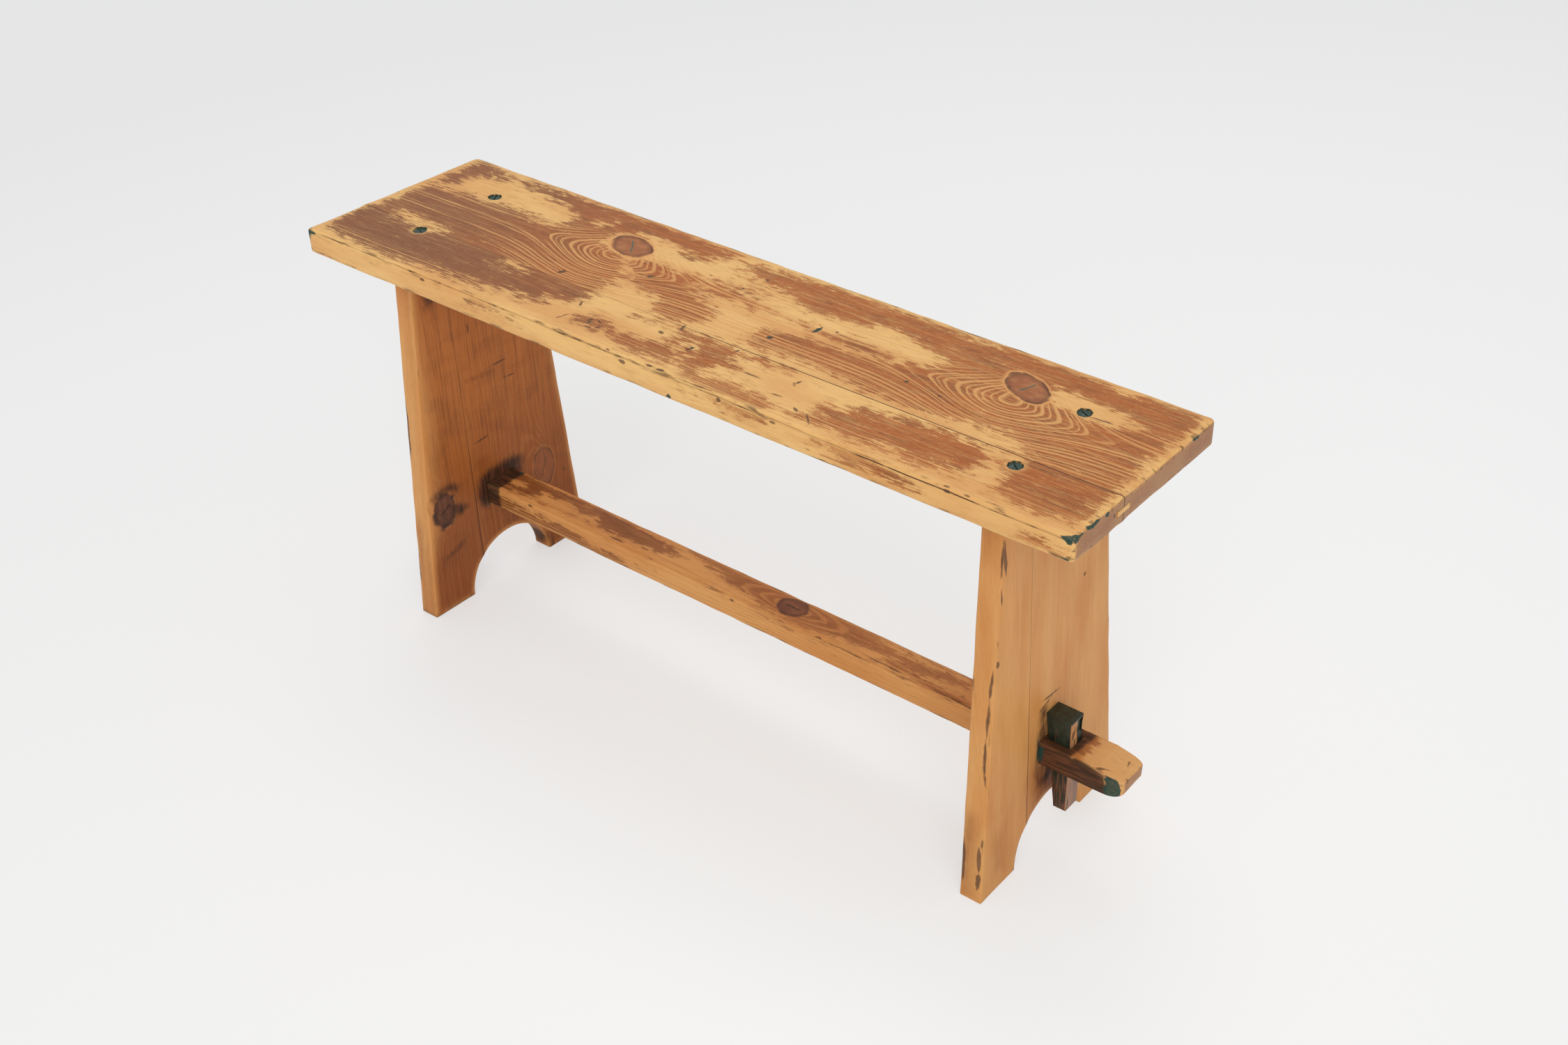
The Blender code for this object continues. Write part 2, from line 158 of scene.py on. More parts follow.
class Flow:
    """A socket's value that can be used in a sum. It works in shader and in geometry trees."""

    def __init__(self, tree, socket):
        self.tree = tree
        self.socket = socket

    def math(self, operation, *others):
        """A Math node on this value and others."""
        node = add(self.tree, "ShaderNodeMath", operation=operation)
        for value, socket in zip((self, *others), node.inputs):
            plug(self.tree, value, socket)
        return Flow(self.tree, node.outputs[0])

    def __add__(self, other):
        return self.math("ADD", other)

    def __sub__(self, other):
        return self.math("SUBTRACT", other)

    def __mul__(self, other):
        return self.math("MULTIPLY", other)

    def __truediv__(self, other):
        return self.math("DIVIDE", other)

    def __pow__(self, other):
        return self.math("POWER", other)

    def rest(self):
        """One less the value, for turning a mask round."""
        return self * -1 + 1

    def ramp(self, low, high, bend="SMOOTHSTEP"):
        """0 below low, 1 above high, and between them an even bend or, with LINEAR, a straight line."""
        node = add(self.tree, "ShaderNodeMapRange", interpolation_type=bend)
        for value, name in ((self, "Value"), (low, "From Min"), (high, "From Max")):
            plug(self.tree, value, node.inputs[name])
        return Flow(self.tree, node.outputs[0])

    def band(self, low, high, soft):
        """1 between low and high, and 0 outside them."""
        return self.ramp(low - soft, low) * self.ramp(high, high + soft).rest()


def plug(tree, value, socket):
    """Links a value to a socket, or sets it there if it is a plain one."""
    if isinstance(value, Flow):
        tree.links.new(value.socket, socket)
    elif isinstance(value, bpy.types.NodeSocket):
        tree.links.new(value, socket)
    else:
        socket.default_value = value


def add(tree, kind, inputs=None, **settings):
    """A new node with its settings, and values or links in its inputs, by their name or number."""
    node = tree.nodes.new(kind)
    for name, value in settings.items():
        setattr(node, name, value)
    for name, value in (inputs or {}).items():
        plug(tree, value, node.inputs[name])
    return node


# %% [markdown]
# ## From solids to fine meshes
# A solid from the workshop has few, large faces. Wear needs points to move: along an arris, and wherever
# a nick or a patch of paint has its edge. Subdividing long thin faces gives long thin triangles, so each
# flat face is filled again instead. Its rim is cut into short steps, a triangular grid of points is laid
# inside it, with a finer one round each nick, and a Delaunay triangulation joins them.

# %% Points for a flat face
MERGE = 0.002 * MM
ROW_SHARE = 0.866
START_SHARE = 0.25
HALF_SHARE = 0.5


def rim_of_face(face, cut_edges):
    """The numbers of the points round a face, with those that its edges were cut at."""
    rim = []
    for loop in face.loops:
        run = cut_edges[loop.edge]
        rim += run[:-1] if run[0] == loop.vert.index else run[:0:-1]
    return rim


def grid_points(low, high, step):
    """A triangular grid of points over a rectangle."""
    rows = int((high.y - low.y) / (step * ROW_SHARE)) + 1
    columns = int((high.x - low.x) / step) + 1
    return [
        low + Vector(((column + START_SHARE + HALF_SHARE * (row % 2)) * step,
                      (row + HALF_SHARE) * step * ROW_SHARE))
        for row in range(rows)
        for column in range(columns)
    ]


def inside(point, rim):
    """Whether a point lies inside a closed outline, by counting the sides that a line from it crosses."""
    crossed = False
    before = rim[-1]
    for after in rim:
        if (after.y > point.y) != (before.y > point.y):
            if point.x < (before.x - after.x) * (point.y - after.y) / (before.y - after.y) + after.x:
                crossed = not crossed
        before = after
    return crossed


# %% Filling a flat face with even triangles
RIM_CLEAR_SHARE = 0.55
INSIDE_ONLY = 1


def fill_face(face, rim, points, step, fine_spots):
    """Triangles for one face, as numbers of points. New inside points are added to the list."""
    across = (points[rim[1]] - points[rim[0]]).normalized()
    up = face.normal.cross(across)
    origin = points[rim[0]]

    def flat(point):
        return Vector(((point - origin).dot(across), (point - origin).dot(up)))

    corners = [flat(loop.vert.co) for loop in face.loops]
    outline = [flat(points[number]) for number in rim]
    low = Vector([min(point[axis] for point in outline) for axis in range(2)])
    high = Vector([max(point[axis] for point in outline) for axis in range(2)])
    grids = [(step, grid_points(low, high, step))] if min(high - low) > step else []
    for place, reach, fine in fine_spots:
        if abs((place - origin).dot(face.normal)) < fine:
            span = Vector((reach, reach))
            grids.append((fine, grid_points(flat(place) - span, flat(place) + span, fine)))
    near = kdtree.KDTree(len(outline))
    for number, point in enumerate(outline):
        near.insert((*point, 0), number)
    near.balance()
    chosen = [
        point
        for spacing, grid in grids
        for point in grid
        if near.find((*point, 0))[2] > RIM_CLEAR_SHARE * spacing and inside(point, corners)
    ]
    places, _, triangles, sources, _, _ = geometry.delaunay_2d_cdt(
        outline + chosen, [], [list(range(len(outline)))], INSIDE_ONLY, MERGE
    )
    numbers = []
    for place, source in zip(places, sources):
        on_rim = [number for number in source if number < len(outline)]
        if on_rim:
            numbers.append(rim[on_rim[0]])
        else:
            numbers.append(len(points))
            points.append(origin + across * place.x + up * place.y)
    return [[numbers[corner] for corner in triangle] for triangle in triangles]


# %% Refining a whole solid
FLAT_WITHIN = radians(0.5)


def linked(name, mesh):
    """A new object in the scene for a mesh."""
    made = bpy.data.objects.new(name, mesh)
    bpy.context.scene.collection.objects.link(made)
    return made


def refined(node, name, step, fine_spots):
    """A new object with a solid's shape and small, even triangles."""
    solid = bmesh.new()
    solid.from_mesh(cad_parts[node].data)
    bmesh.ops.remove_doubles(solid, verts=solid.verts, dist=MERGE)
    bmesh.ops.dissolve_limit(solid, angle_limit=FLAT_WITHIN, verts=solid.verts, edges=solid.edges)
    bmesh.ops.recalc_face_normals(solid, faces=solid.faces)
    solid.verts.index_update()
    points = [vert.co.copy() for vert in solid.verts]
    cut_edges = {}
    for edge in solid.edges:
        start, end = edge.verts
        count = max(1, round(edge.calc_length() / step))
        first = len(points)
        points += [start.co.lerp(end.co, part / count) for part in range(1, count)]
        cut_edges[edge] = [start.index, *range(first, first + count - 1), end.index]
    triangles = []
    for face in solid.faces:
        triangles += fill_face(face, rim_of_face(face, cut_edges), points, step, fine_spots)
    solid.free()
    mesh = bpy.data.meshes.new(name)
    mesh.from_pydata(points, [], triangles)
    return linked(name, mesh)


# %% [markdown]
# ## Stencils
# What is on the wood lies in patches: stain, green paint, grime, nicks. Each patch is drawn as a
# flat outline on its face, like a stencil. Geometry Nodes then measure how far every point of a board is
# inside or outside the stencils of one kind and keep that as an attribute: 0 well outside, 0.5 on the
# outline and 1 well inside. Vertex colours painted by hand would do as well, but a stencil can be read,
# moved and measured.

# %% Stencils of one kind as one mesh


def stencils(name, drawn):
    """A mesh object with one face for each (name of a face, outline in millimetres)."""
    points = []
    outlines = []
    for face, outline in drawn:
        outlines.append(list(range(len(points), len(points) + len(outline))))
        points += on_face(face, outline)
    mesh = bpy.data.meshes.new(name)
    mesh.from_pydata(points, [], outlines)
    return linked(name, mesh)


SLIT_SHARES = ((-0.5, 0), (-0.2, -0.5), (0.25, -0.45), (0.5, 0), (0.2, 0.5), (-0.3, 0.4))


def slit(x, y, length, width, turn=0):
    """The outline of a narrow mark about its middle, pointed at both ends, and turned in degrees."""
    c, s = cos(radians(turn)), sin(radians(turn))
    return [
        (x + c * a * length - s * b * width, y + s * a * length + c * b * width)
        for a, b in SLIT_SHARES
    ]


def block(a_low, a_high, b_low, b_high):
    """The outline of a plain rectangle."""
    return [(a_low, b_low), (a_high, b_low), (a_high, b_high), (a_low, b_high)]


def on(face, *outlines):
    """Outlines that lie on one named face."""
    return [(face, outline) for outline in outlines]


def slits(face, *marks):
    """Slits on one named face, each with its place, length, width and turn."""
    return [(face, slit(*mark)) for mark in marks]


def fine_spots(drawn, step):
    """Where a board needs closer points for small marks: the middle, the reach and the step of each."""
    spots = []
    for face, outline in drawn:
        points = on_face(face, outline)
        middle = sum(points, Vector()) / len(points)
        reach = max((point - middle).length for point in points) + 2 * step
        spots.append((middle, reach, step))
    return spots


# %% [markdown]
# ## One tree that ages a board
# Every board goes through the same Geometry Nodes tree. It reads five kinds of stencils, finds the
# arrises by the angle between faces, and presses points inwards: on the arrises, in the nicks, and a
# little all over. Nothing moves outwards, so a worn board still fits its joints. Close to a glued seam
# the arris stays square, since nothing rubs there. Sculpting would give the same wear by hand, but a tree
# can be run again when a board changes.

# %% A tree with named inputs


def geometry_tree(name, **kinds):
    """An empty geometry tree with named inputs. Gives the tree, its inputs and its output node."""
    tree = bpy.data.node_groups.new(name, "GeometryNodeTree")
    tree.interface.new_socket("Geometry", in_out="INPUT", socket_type="NodeSocketGeometry")
    tree.interface.new_socket("Geometry", in_out="OUTPUT", socket_type="NodeSocketGeometry")
    for label, kind in kinds.items():
        tree.interface.new_socket(label, in_out="INPUT", socket_type="NodeSocket" + kind)
    return tree, add(tree, "NodeGroupInput").outputs, add(tree, "NodeGroupOutput")


def finish_tree(tree, shape, material, output):
    """Ends a tree in plain geometry with its material set."""
    real = add(tree, "GeometryNodeRealizeInstances", {"Geometry": shape})
    painted = add(tree, "GeometryNodeSetMaterial", {"Geometry": real.outputs[0], "Material": material})
    tree.links.new(painted.outputs[0], output.inputs[0])


def grown(host, tree, values):
    """Runs a tree on an object and keeps the result as the object's own plain mesh."""
    modifier = host.modifiers.new(tree.name, "NODES")
    modifier.node_group = tree
    for item in tree.interface.items_tree:
        if item.in_out == "INPUT" and item.name in values:
            modifier[item.identifier] = values[item.name]
    graph = bpy.context.evaluated_depsgraph_get()
    mesh = bpy.data.meshes.new_from_object(host.evaluated_get(graph), depsgraph=graph)
    host.modifiers.remove(modifier)
    host.data = mesh
    return host


# %% Measuring stencils inside the tree


def laid(tree, patches, softness):
    """How far inside some stencils each point is: 0 outside, 0.5 on an outline, 1 inside."""
    shapes = add(tree, "GeometryNodeObjectInfo", {"Object": patches}).outputs["Geometry"]
    to_face = add(tree, "GeometryNodeProximity", {0: shapes}, target_element="FACES")
    to_edge = add(tree, "GeometryNodeProximity", {0: shapes}, target_element="EDGES")
    depth = Flow(tree, to_edge.outputs["Distance"]) - Flow(tree, to_face.outputs["Distance"]) * 2
    share = depth.ramp(Flow(tree, softness) * -1, softness, "LINEAR")
    return share * Flow(tree, to_edge.outputs["Is Valid"])


def stored(tree, shape, name, value):
    """Keeps a value on every point under a name that a material can read."""
    node = add(tree, "GeometryNodeStoreNamedAttribute", {"Geometry": shape, "Name": name})
    plug(tree, value, node.inputs["Value"])
    return node.outputs[0]


def space_noise(tree, size, seed):
    """Noise from 0 to 1 with spots of a given size."""
    node = add(tree, "ShaderNodeTexNoise", noise_dimensions="4D")
    for name, value in (("W", seed), ("Scale", 1 / size), ("Detail", 0.5)):
        plug(tree, value, node.inputs[name])
    return Flow(tree, node.outputs[0])


# %% The ageing tree
ARRIS_ANGLE = radians(14)
RUBBED_SPOT, RUBBED_RAMP = 35 * MM, (0.3, 0.75)
UNEVEN_SPOT, UNEVEN_RAMP = 60 * MM, (0.25, 0.8)
WORN_LEAST_SHARE, WORN_MORE_SHARE = 0.25, 0.8


def ageing_tree():
    """Stores the stencils' masks on a board and presses its arrises and nicks inwards."""
    tree, given, output = geometry_tree(
        "age a board",
        Stain="Object", Rubbed="Object", Paint="Object", Grime="Object", Nicks="Object",
        Softness="Float", Grime_Softness="Float", Mark_Softness="Float",
        Arris_Wear="Float", Arris_Reach="Float", Unevenness="Float", Nick_Depth="Float",
        Seam="Float", Seam_Calm="Float", Seed="Float", Material="Material",
    )
    shape = given["Geometry"]
    rubbed_off = laid(tree, given["Rubbed"], given["Softness"])
    stain = laid(tree, given["Stain"], given["Softness"]) * rubbed_off.rest()
    shape = stored(tree, shape, "stain", stain)
    softness = {"Grime": "Grime_Softness", "Paint": "Mark_Softness", "Nicks": "Mark_Softness"}
    for name, soft in softness.items():
        shape = stored(tree, shape, name.lower(), laid(tree, given[name], given[soft]))
    angle = add(tree, "GeometryNodeInputMeshEdgeAngle").outputs["Unsigned Angle"]
    sharp = Flow(tree, angle).math("GREATER_THAN", ARRIS_ANGLE)
    rims = add(tree, "GeometryNodeSeparateGeometry", {"Geometry": shape}, domain="EDGE")
    plug(tree, sharp, rims.inputs["Selection"])
    to_rim = add(tree, "GeometryNodeProximity", {0: rims.outputs["Selection"]}, target_element="EDGES")
    arris = Flow(tree, to_rim.outputs["Distance"]).ramp(0, given["Arris_Reach"]).rest()
    place = add(tree, "GeometryNodeInputPosition").outputs[0]
    y = Flow(tree, add(tree, "ShaderNodeSeparateXYZ", {0: place}).outputs["Y"])
    free = (y - Flow(tree, given["Seam"])).math("ABSOLUTE").ramp(0, given["Seam_Calm"])
    rubbed = space_noise(tree, RUBBED_SPOT, given["Seed"]).ramp(*RUBBED_RAMP)
    uneven = space_noise(tree, UNEVEN_SPOT, given["Seed"]).ramp(*UNEVEN_RAMP)
    worn_share = rubbed * WORN_MORE_SHARE + WORN_LEAST_SHARE
    press = arris * free * worn_share * Flow(tree, given["Arris_Wear"])
    press = press + uneven * Flow(tree, given["Unevenness"]) * free
    nicks = add(tree, "GeometryNodeInputNamedAttribute", {"Name": "nicks"}, data_type="FLOAT")
    press = press + Flow(tree, nicks.outputs[0]) * Flow(tree, given["Nick_Depth"])
    shape = stored(tree, shape, "arris", arris * free)
    normal = add(tree, "GeometryNodeInputNormal").outputs[0]
    inwards = add(tree, "ShaderNodeVectorMath", {0: normal}, operation="SCALE")
    plug(tree, press * -1, inwards.inputs["Scale"])
    moved = add(tree, "GeometryNodeSetPosition", {"Geometry": shape, "Offset": inwards.outputs[0]})
    finish_tree(tree, moved.outputs[0], given["Material"], output)
    return tree


age = ageing_tree()
print("the ageing tree has", len(age.nodes), "nodes")

# %% [markdown]
# ## Stain on the seat
# Brown stain once covered the whole seat. Sitting and cleaning took it off along the edges, round the
# knots and in a broad strip through the middle, and left islands with ragged ends that follow the grain.
# Only the islands' main shapes are drawn here, and the holes in them. Their ragged ends come from noise
# in the material.

# %% Stain stencils on the top
SEAT_STAIN = on(
    "top",
    [(-466, 116), (-445, 118), (-426, 113), (-416, 105), (-398, 101), (-420, 93), (-438, 86),
     (-445, 70), (-444, 52), (-452, 46), (-466, 44)],
    [(-465, 38), (-440, 44), (-400, 47), (-350, 48), (-310, 46), (-285, 44), (-274, 52), (-270, 62),
     (-280, 74), (-292, 84), (-300, 90), (-330, 90), (-360, 93), (-380, 96), (-386, 104), (-370, 110),
     (-340, 113), (-300, 112), (-270, 113), (-245, 116), (-222, 118), (-190, 119), (-150, 117),
     (-110, 112), (-78, 108), (-60, 101), (-78, 96), (-68, 90), (-92, 86), (-82, 78), (-108, 72),
     (-130, 80), (-150, 86), (-172, 86), (-196, 80), (-210, 72), (-216, 60), (-212, 48), (-204, 40),
     (-186, 36), (-170, 30), (-156, 22), (-140, 10), (-126, 0), (-142, -10), (-128, -18), (-140, -28),
     (-136, -40), (-137, -56), (-138, -68), (-150, -76), (-168, -80), (-160, -87), (-182, -92),
     (-205, -90), (-212, -98), (-240, -103), (-280, -105), (-322, -105), (-330, -110), (-380, -112),
     (-440, -111), (-462, -105), (-471, -92), (-472, -60), (-468, -36)],
    [(-154, 38), (-140, 47), (-118, 47), (-104, 40), (-92, 44), (-82, 40), (-68, 30), (-50, 20),
     (-38, 12), (-24, 4), (-13, -4), (-9, -16), (-14, -29), (-30, -39), (-52, -42), (-70, -36),
     (-74, -18), (-80, -10), (-100, -11), (-120, -3), (-132, 8), (-148, 20), (-158, 30)],
    [(-86, 45), (-40, 47), (0, 45), (30, 43), (60, 40), (80, 37), (86, 30), (68, 25), (50, 30),
     (30, 29), (14, 25), (4, 32), (-14, 34), (-28, 31), (-40, 27), (-60, 33), (-84, 37)],
    [(-80, 50), (-20, 58), (20, 60), (60, 58), (46, 51), (0, 49)],
    [(94, 32), (110, 38), (140, 38), (165, 36), (182, 31), (174, 21), (150, 23), (120, 26), (98, 27)],
    [(-62, 92), (-46, 104), (-10, 110), (30, 114), (110, 116), (200, 117), (290, 116), (350, 118),
     (430, 120), (464, 119), (470, 100), (470, 40), (471, -20), (471, -60), (470, -90), (465, -104),
     (440, -108), (400, -105), (380, -102), (358, -100), (330, -105), (300, -109), (250, -110),
     (200, -113), (168, -109), (182, -98), (194, -90), (180, -84), (184, -76), (204, -66), (214, -56),
     (240, -49), (300, -47), (340, -48), (372, -43), (376, -36), (366, -28), (350, -21), (330, -19),
     (290, -25), (240, -35), (200, -32), (150, -27), (110, -23), (80, -30), (62, -32), (48, -24),
     (42, -12), (44, 0), (58, 9), (85, 14), (135, 19), (185, 25), (206, 35), (222, 46), (216, 58),
     (197, 68), (172, 74), (142, 80), (130, 75), (110, 67), (80, 63), (60, 55), (30, 61), (22, 69),
     (10, 79), (-30, 79), (-72, 84)],
    [(-67, -50), (-40, -46), (-10, -46), (8, -49), (14, -45), (60, -44), (118, -45), (120, -50),
     (92, -56), (66, -58), (70, -64), (82, -70), (80, -76), (62, -80), (58, -88), (66, -96), (100, -98),
     (128, -100), (146, -110), (146, -119), (100, -121), (48, -121), (26, -108), (0, -106), (-40, -106),
     (-60, -101), (-56, -92), (-46, -86), (-26, -82), (-16, -76), (-22, -68), (-20, -62), (-10, -58),
     (-28, -54), (-48, -54), (-64, -55)],
    [(-112, -86), (-100, -79), (-84, -79), (-68, -84), (-66, -92), (-80, -98), (-100, -98),
     (-112, -93)],
)
SEAT_RUBBED = on(
    "top",
    [(338, 84), (362, 82), (388, 78), (412, 73), (432, 64), (428, 54), (408, 47), (386, 48), (366, 54),
     (350, 48), (340, 56)],
    [(386, 122), (390, 108), (394, 108), (397, 122)],
    [(-434, -33), (-400, -31), (-362, -34), (-370, -39), (-400, -41), (-430, -39)],
    [(-258, -41), (-236, -42), (-224, -48), (-240, -52), (-258, -48)],
    [(350, -54), (374, -58), (382, -78), (368, -97), (352, -92), (356, -76)],
    [(24, 66), (40, 58), (62, 50), (52, 48), (26, 56)],
    [(-250, 80), (-242, 85), (-234, 82), (-240, 76)],
    [(4, -74), (16, -71), (28, -78), (24, -87), (8, -85)],
)
print(len(SEAT_STAIN), "islands of stain on the seat, with", len(SEAT_RUBBED), "holes rubbed in them")

# %% [markdown]
# ## Marks on the seat
# A nick is a short slit, pointed at both ends. Long ones follow the grain, and short ones lie as they
# fell. Green paint was left where a cloth or a scraper couldn't reach: in dents, in the screw holes, and
# on the two front corners. Grime went into end grain and into the left end of the front arris.

# %% Nicks on the seat
SEAT_NICKS = slits(
    "top", (89, 33, 15, 5, 86), (62, -7, 8, 5, 20), (-117, 20, 9, 3.5, 40), (217, 5, 5, 3, 80),
    (-195, -28, 10, 6, 60), (-17, -43, 13, 2.4, -75), (-130, -67, 10, 2.2, -60), (-126, -96, 14, 2, 75),
    (96, -73.6, 24, 2), (139, -59, 10, 2.6, 80), (138, -63, 8, 3, -50), (138, -88, 14, 1.4, 5),
    (168, -98, 9, 3, -30), (187, -104, 20, 1.4, -45), (398, 55, 26, 2, 3), (-18, 85.6, 5, 4),
    (17, -70, 10, 3.4, 70), (-27, -63, 8, 4, -20), (-70, 59, 5, 2.4), (-25, 56, 3.4, 4),
    (-18, 121, 6, 3, 40), (55, -46, 6, 3, 80), (107, 41, 4, 3), (22, -118, 9, 4, 10),
    (-44, -119, 7, 3, -20), (-99, -86, 8, 2.4, 60), (-91, -98, 11, 2.4), (-82, -92, 8, 2.4, 70),
    (-88, -84, 7, 2, -20), (372, -121, 9, 3), (350, -119, 7, 3), (257, 2, 4, 3), (-90, -120.6, 46, 1.7),
    (-22, -120.8, 50, 1.6), (-55, -120, 9, 1.7), (62, -119.6, 46, 1.6, 4), (118, -120.8, 56, 1.5),
    (8, -118, 7, 3), (-240, -120.8, 40, 1.3),
) + slits(
    "right end", (-56, 452, 5, 4),
)
FRONT_CHIPS = slits(
    "front", (-24, 458, 9, 4), (96, 459, 6, 4), (160, 458, 8, 3), (352, 460, 8, 3), (-300, 459, 7, 3),
)
print(len(SEAT_NICKS) + len(FRONT_CHIPS), "nicks and chips")

# %% Paint, grime and stain round the seat's edges
SEAT_PAINT = slits(
    "top", (89, 33, 14, 4, 86), (62, -7, 6, 4, 20), (-117, 20, 8, 3, 40), (217, 5, 4, 3),
    (-96, -90, 6, 3, 60), (17, -68, 5, 3, 70),
) + on(
    "top",
    [(460, -124), (467, -121), (474, -117), (479, -112), (478, -106), (477, -98), (479, -91),
     (478, -84), (480, -74), (484, -74), (484, -124)],
    block(479, 484, 76, 92),
) + on(
    "right end",
    [(-125, 466), (-74, 466), (-76, 462), (-92, 459), (-104, 462), (-114, 459), (-120, 452),
     (-121, 438), (-125, 438)],
) + slits(
    "right end", (-69, 460, 8, 4), (84, 462, 18, 5),
) + on(
    "front",
    [(458, 466), (484, 466), (484, 438), (466, 438), (468, 441), (477, 442), (478, 448), (476, 455),
     (471, 459), (462, 462)],
    [(-484, 468), (-430, 468), (-432, 463.4), (-456, 463), (-472, 460), (-476, 452), (-477, 445),
     (-484, 445)],
) + slits(
    "front", (34, 441, 7, 5, 30),
)
SEAT_GRIME = on(
    "front", [(-484, 466), (-440, 466), (-444, 464), (-470, 461), (-478, 446), (-484, 444)],
    [(456, 442), (482, 442), (482, 437), (456, 438)],
) + on(
    "top", [(-481, -123), (-464, -123), (-472, -119), (-478, -114), (-481, -112)],
) + on(
    "left end", block(-122, -104, 444, 462),
)
SEAT_STAIN += on(
    "right end", block(-112, -60, 441, 459), block(-32, 6, 440, 456), block(66, 118, 441, 458),
) + on(
    "left end", block(-60, 20, 440, 456),
) + on(
    "front", block(-236, -160, 456, 462),
    [(92, 458), (108, 462), (158, 462), (150, 456), (120, 453)],
    [(208, 456), (226, 462), (300, 461), (320, 455), (290, 449), (252, 447), (232, 451)],
    [(422, 446), (448, 450), (478, 447), (480, 441), (448, 440)],
) + on(
    "back", block(-380, -120, 450, 463), block(60, 300, 444, 460),
)
print(len(SEAT_PAINT), "spots of paint and", len(SEAT_GRIME), "of grime")

# %% [markdown]
# ## Marks on the legs, the stretcher and the wedges
# Where pieces meet, hands and cloths never reach, so there the grime is thickest: in the corner over the
# stretcher, under the seat, inside the arch of a foot and all round the wedge. Inside the arch of a foot
# and along the bottom of the feet the dark patches are painted shade as well as grime.

# %% The left leg's stain, grime and nicks
LEFT_STAIN = on(
    "left leg inside",
    [(-88, 436), (124, 436), (124, -4), (-122, -4), (-120, 60), (-96, 120), (-84, 260), (-88, 340)],
) + on(
    "left leg outside", block(-122, -60, 0, 120), block(30, 122, 180, 436),
)
LEFT_GRIME_AND_SHADE = on(
    "left leg inside",
    [(-34, 150), (-14, 156), (22, 156), (40, 148), (34, 132), (24, 108), (-24, 104), (-34, 108),
     (-40, 124)],
    [(-78, 420), (-40, 420), (-50, 392), (-72, 384)],
    [(-108, 154), (-98, 163), (-74, 166), (-60, 156), (-66, 148), (-78, 153), (-94, 154)],
    [(-77, 136), (-62, 134), (-52, 122), (-64, 115), (-78, 119)],
    [(-98, 72), (-84, 76), (-66, 84), (-64, 79), (-82, 70), (-96, 68)],
    # The strips along the bottom of both feet are painted shade as well as grime.
    [(54, 28), (60, 10), (60, -4), (112, -4), (110, 2), (72, 3), (66, 16), (58, 32)],
    block(-124, -58, -4, 3), slit(-12, 276, 44, 3, -6),
) + on(
    # The patch inside the arch of the rear foot is painted shade as well as grime.
    "left arch", block(-4, 30, -4, 36),
) + on(
    # The strip along the bottom of the front foot's front is painted shade as well as grime.
    "left leg front", block(-4, 30, -4, 3),
) + on(
    "left leg outside",
    [(-30, 148), (-18, 158), (14, 160), (30, 150), (27, 124), (32, 104), (8, 94), (-20, 90),
     (-34, 110)],
)
LEFT_NICKS = slits(
    "left leg inside", (-19, 339, 12, 1.2, 90), (98, 98, 3, 3), (-20, 197, 26, 2, 4),
    (18, 281, 24, 1.6), (30, 258, 20, 1.4, -6),
) + slits(
    "left leg front", (24, 240, 80, 5, 89), (25, 70, 60, 4, 88),
)
print(len(LEFT_GRIME_AND_SHADE), "patches of grime and", len(LEFT_NICKS), "nicks on the left leg")

# %% The right leg's stain, grime, nicks and paint
RIGHT_STAIN = on(
    "right leg outside", [(-26, 100), (10, 100), (12, 60), (-24, 56)],
) + on(
    "right leg inside", block(-84, 84, 390, 436), block(-122, -60, 0, 90),
)
RIGHT_GRIME = on(
    "right leg outside",
    [(-25, 152), (-12, 160), (16, 158), (28, 144), (26, 104), (10, 92), (-8, 74), (-24, 80),
     (-28, 110)],
    block(-22, -8, 131, 177), block(-19, -11, 92, 132),
) + on(
    "right leg inside",
    [(-28, 150), (-10, 156), (16, 152), (28, 146), (31, 128), (26, 106), (6, 98), (-22, 102),
     (-32, 118)],
)
RIGHT_NICKS = slits(
    "right leg outside", (-96, 277, 9, 4.4, 100), (52, 295, 4.5, 4), (-3, 184, 34, 2.4, -4),
    (-12, 178, 26, 2, 16), (-14, 160, 30, 2, 80), (-20, 142, 22, 1.6, 96), (-86.5, 390, 44, 5, 96),
    (-91, 350, 24, 2, 95),
) + slits(
    "right leg front", (1.2, 388, 40, 3, 90), (4.5, 254, 34, 3, 94), (5.5, 216, 44, 3.4, 91),
    (6, 172, 46, 3.6, 89), (4, 146, 18, 2.4, 84), (5.5, 52, 34, 4.4, 88), (5, 26, 22, 5.4, 93),
    (3, 74, 12, 2.4, 90), (23, 44, 60, 4, 89),
)
RIGHT_PAINT = slits("right leg outside", (-23, 128, 34, 5, 88), (22, 108, 20, 6, 80))
print(len(RIGHT_GRIME), "patches of grime and", len(RIGHT_NICKS), "nicks on the right leg")

# %% A dent and a nick in the right wedge
WEDGE_NICKS = on(
    "right wedge outside", [(1, 163), (9, 164), (12, 158), (12, 147), (4, 144), (0, 152)],
) + slits(
    "right wedge outside", (-5, 150, 14, 4, 84),
)
print("the dent's outline has", len(WEDGE_NICKS[0][1]), "points")

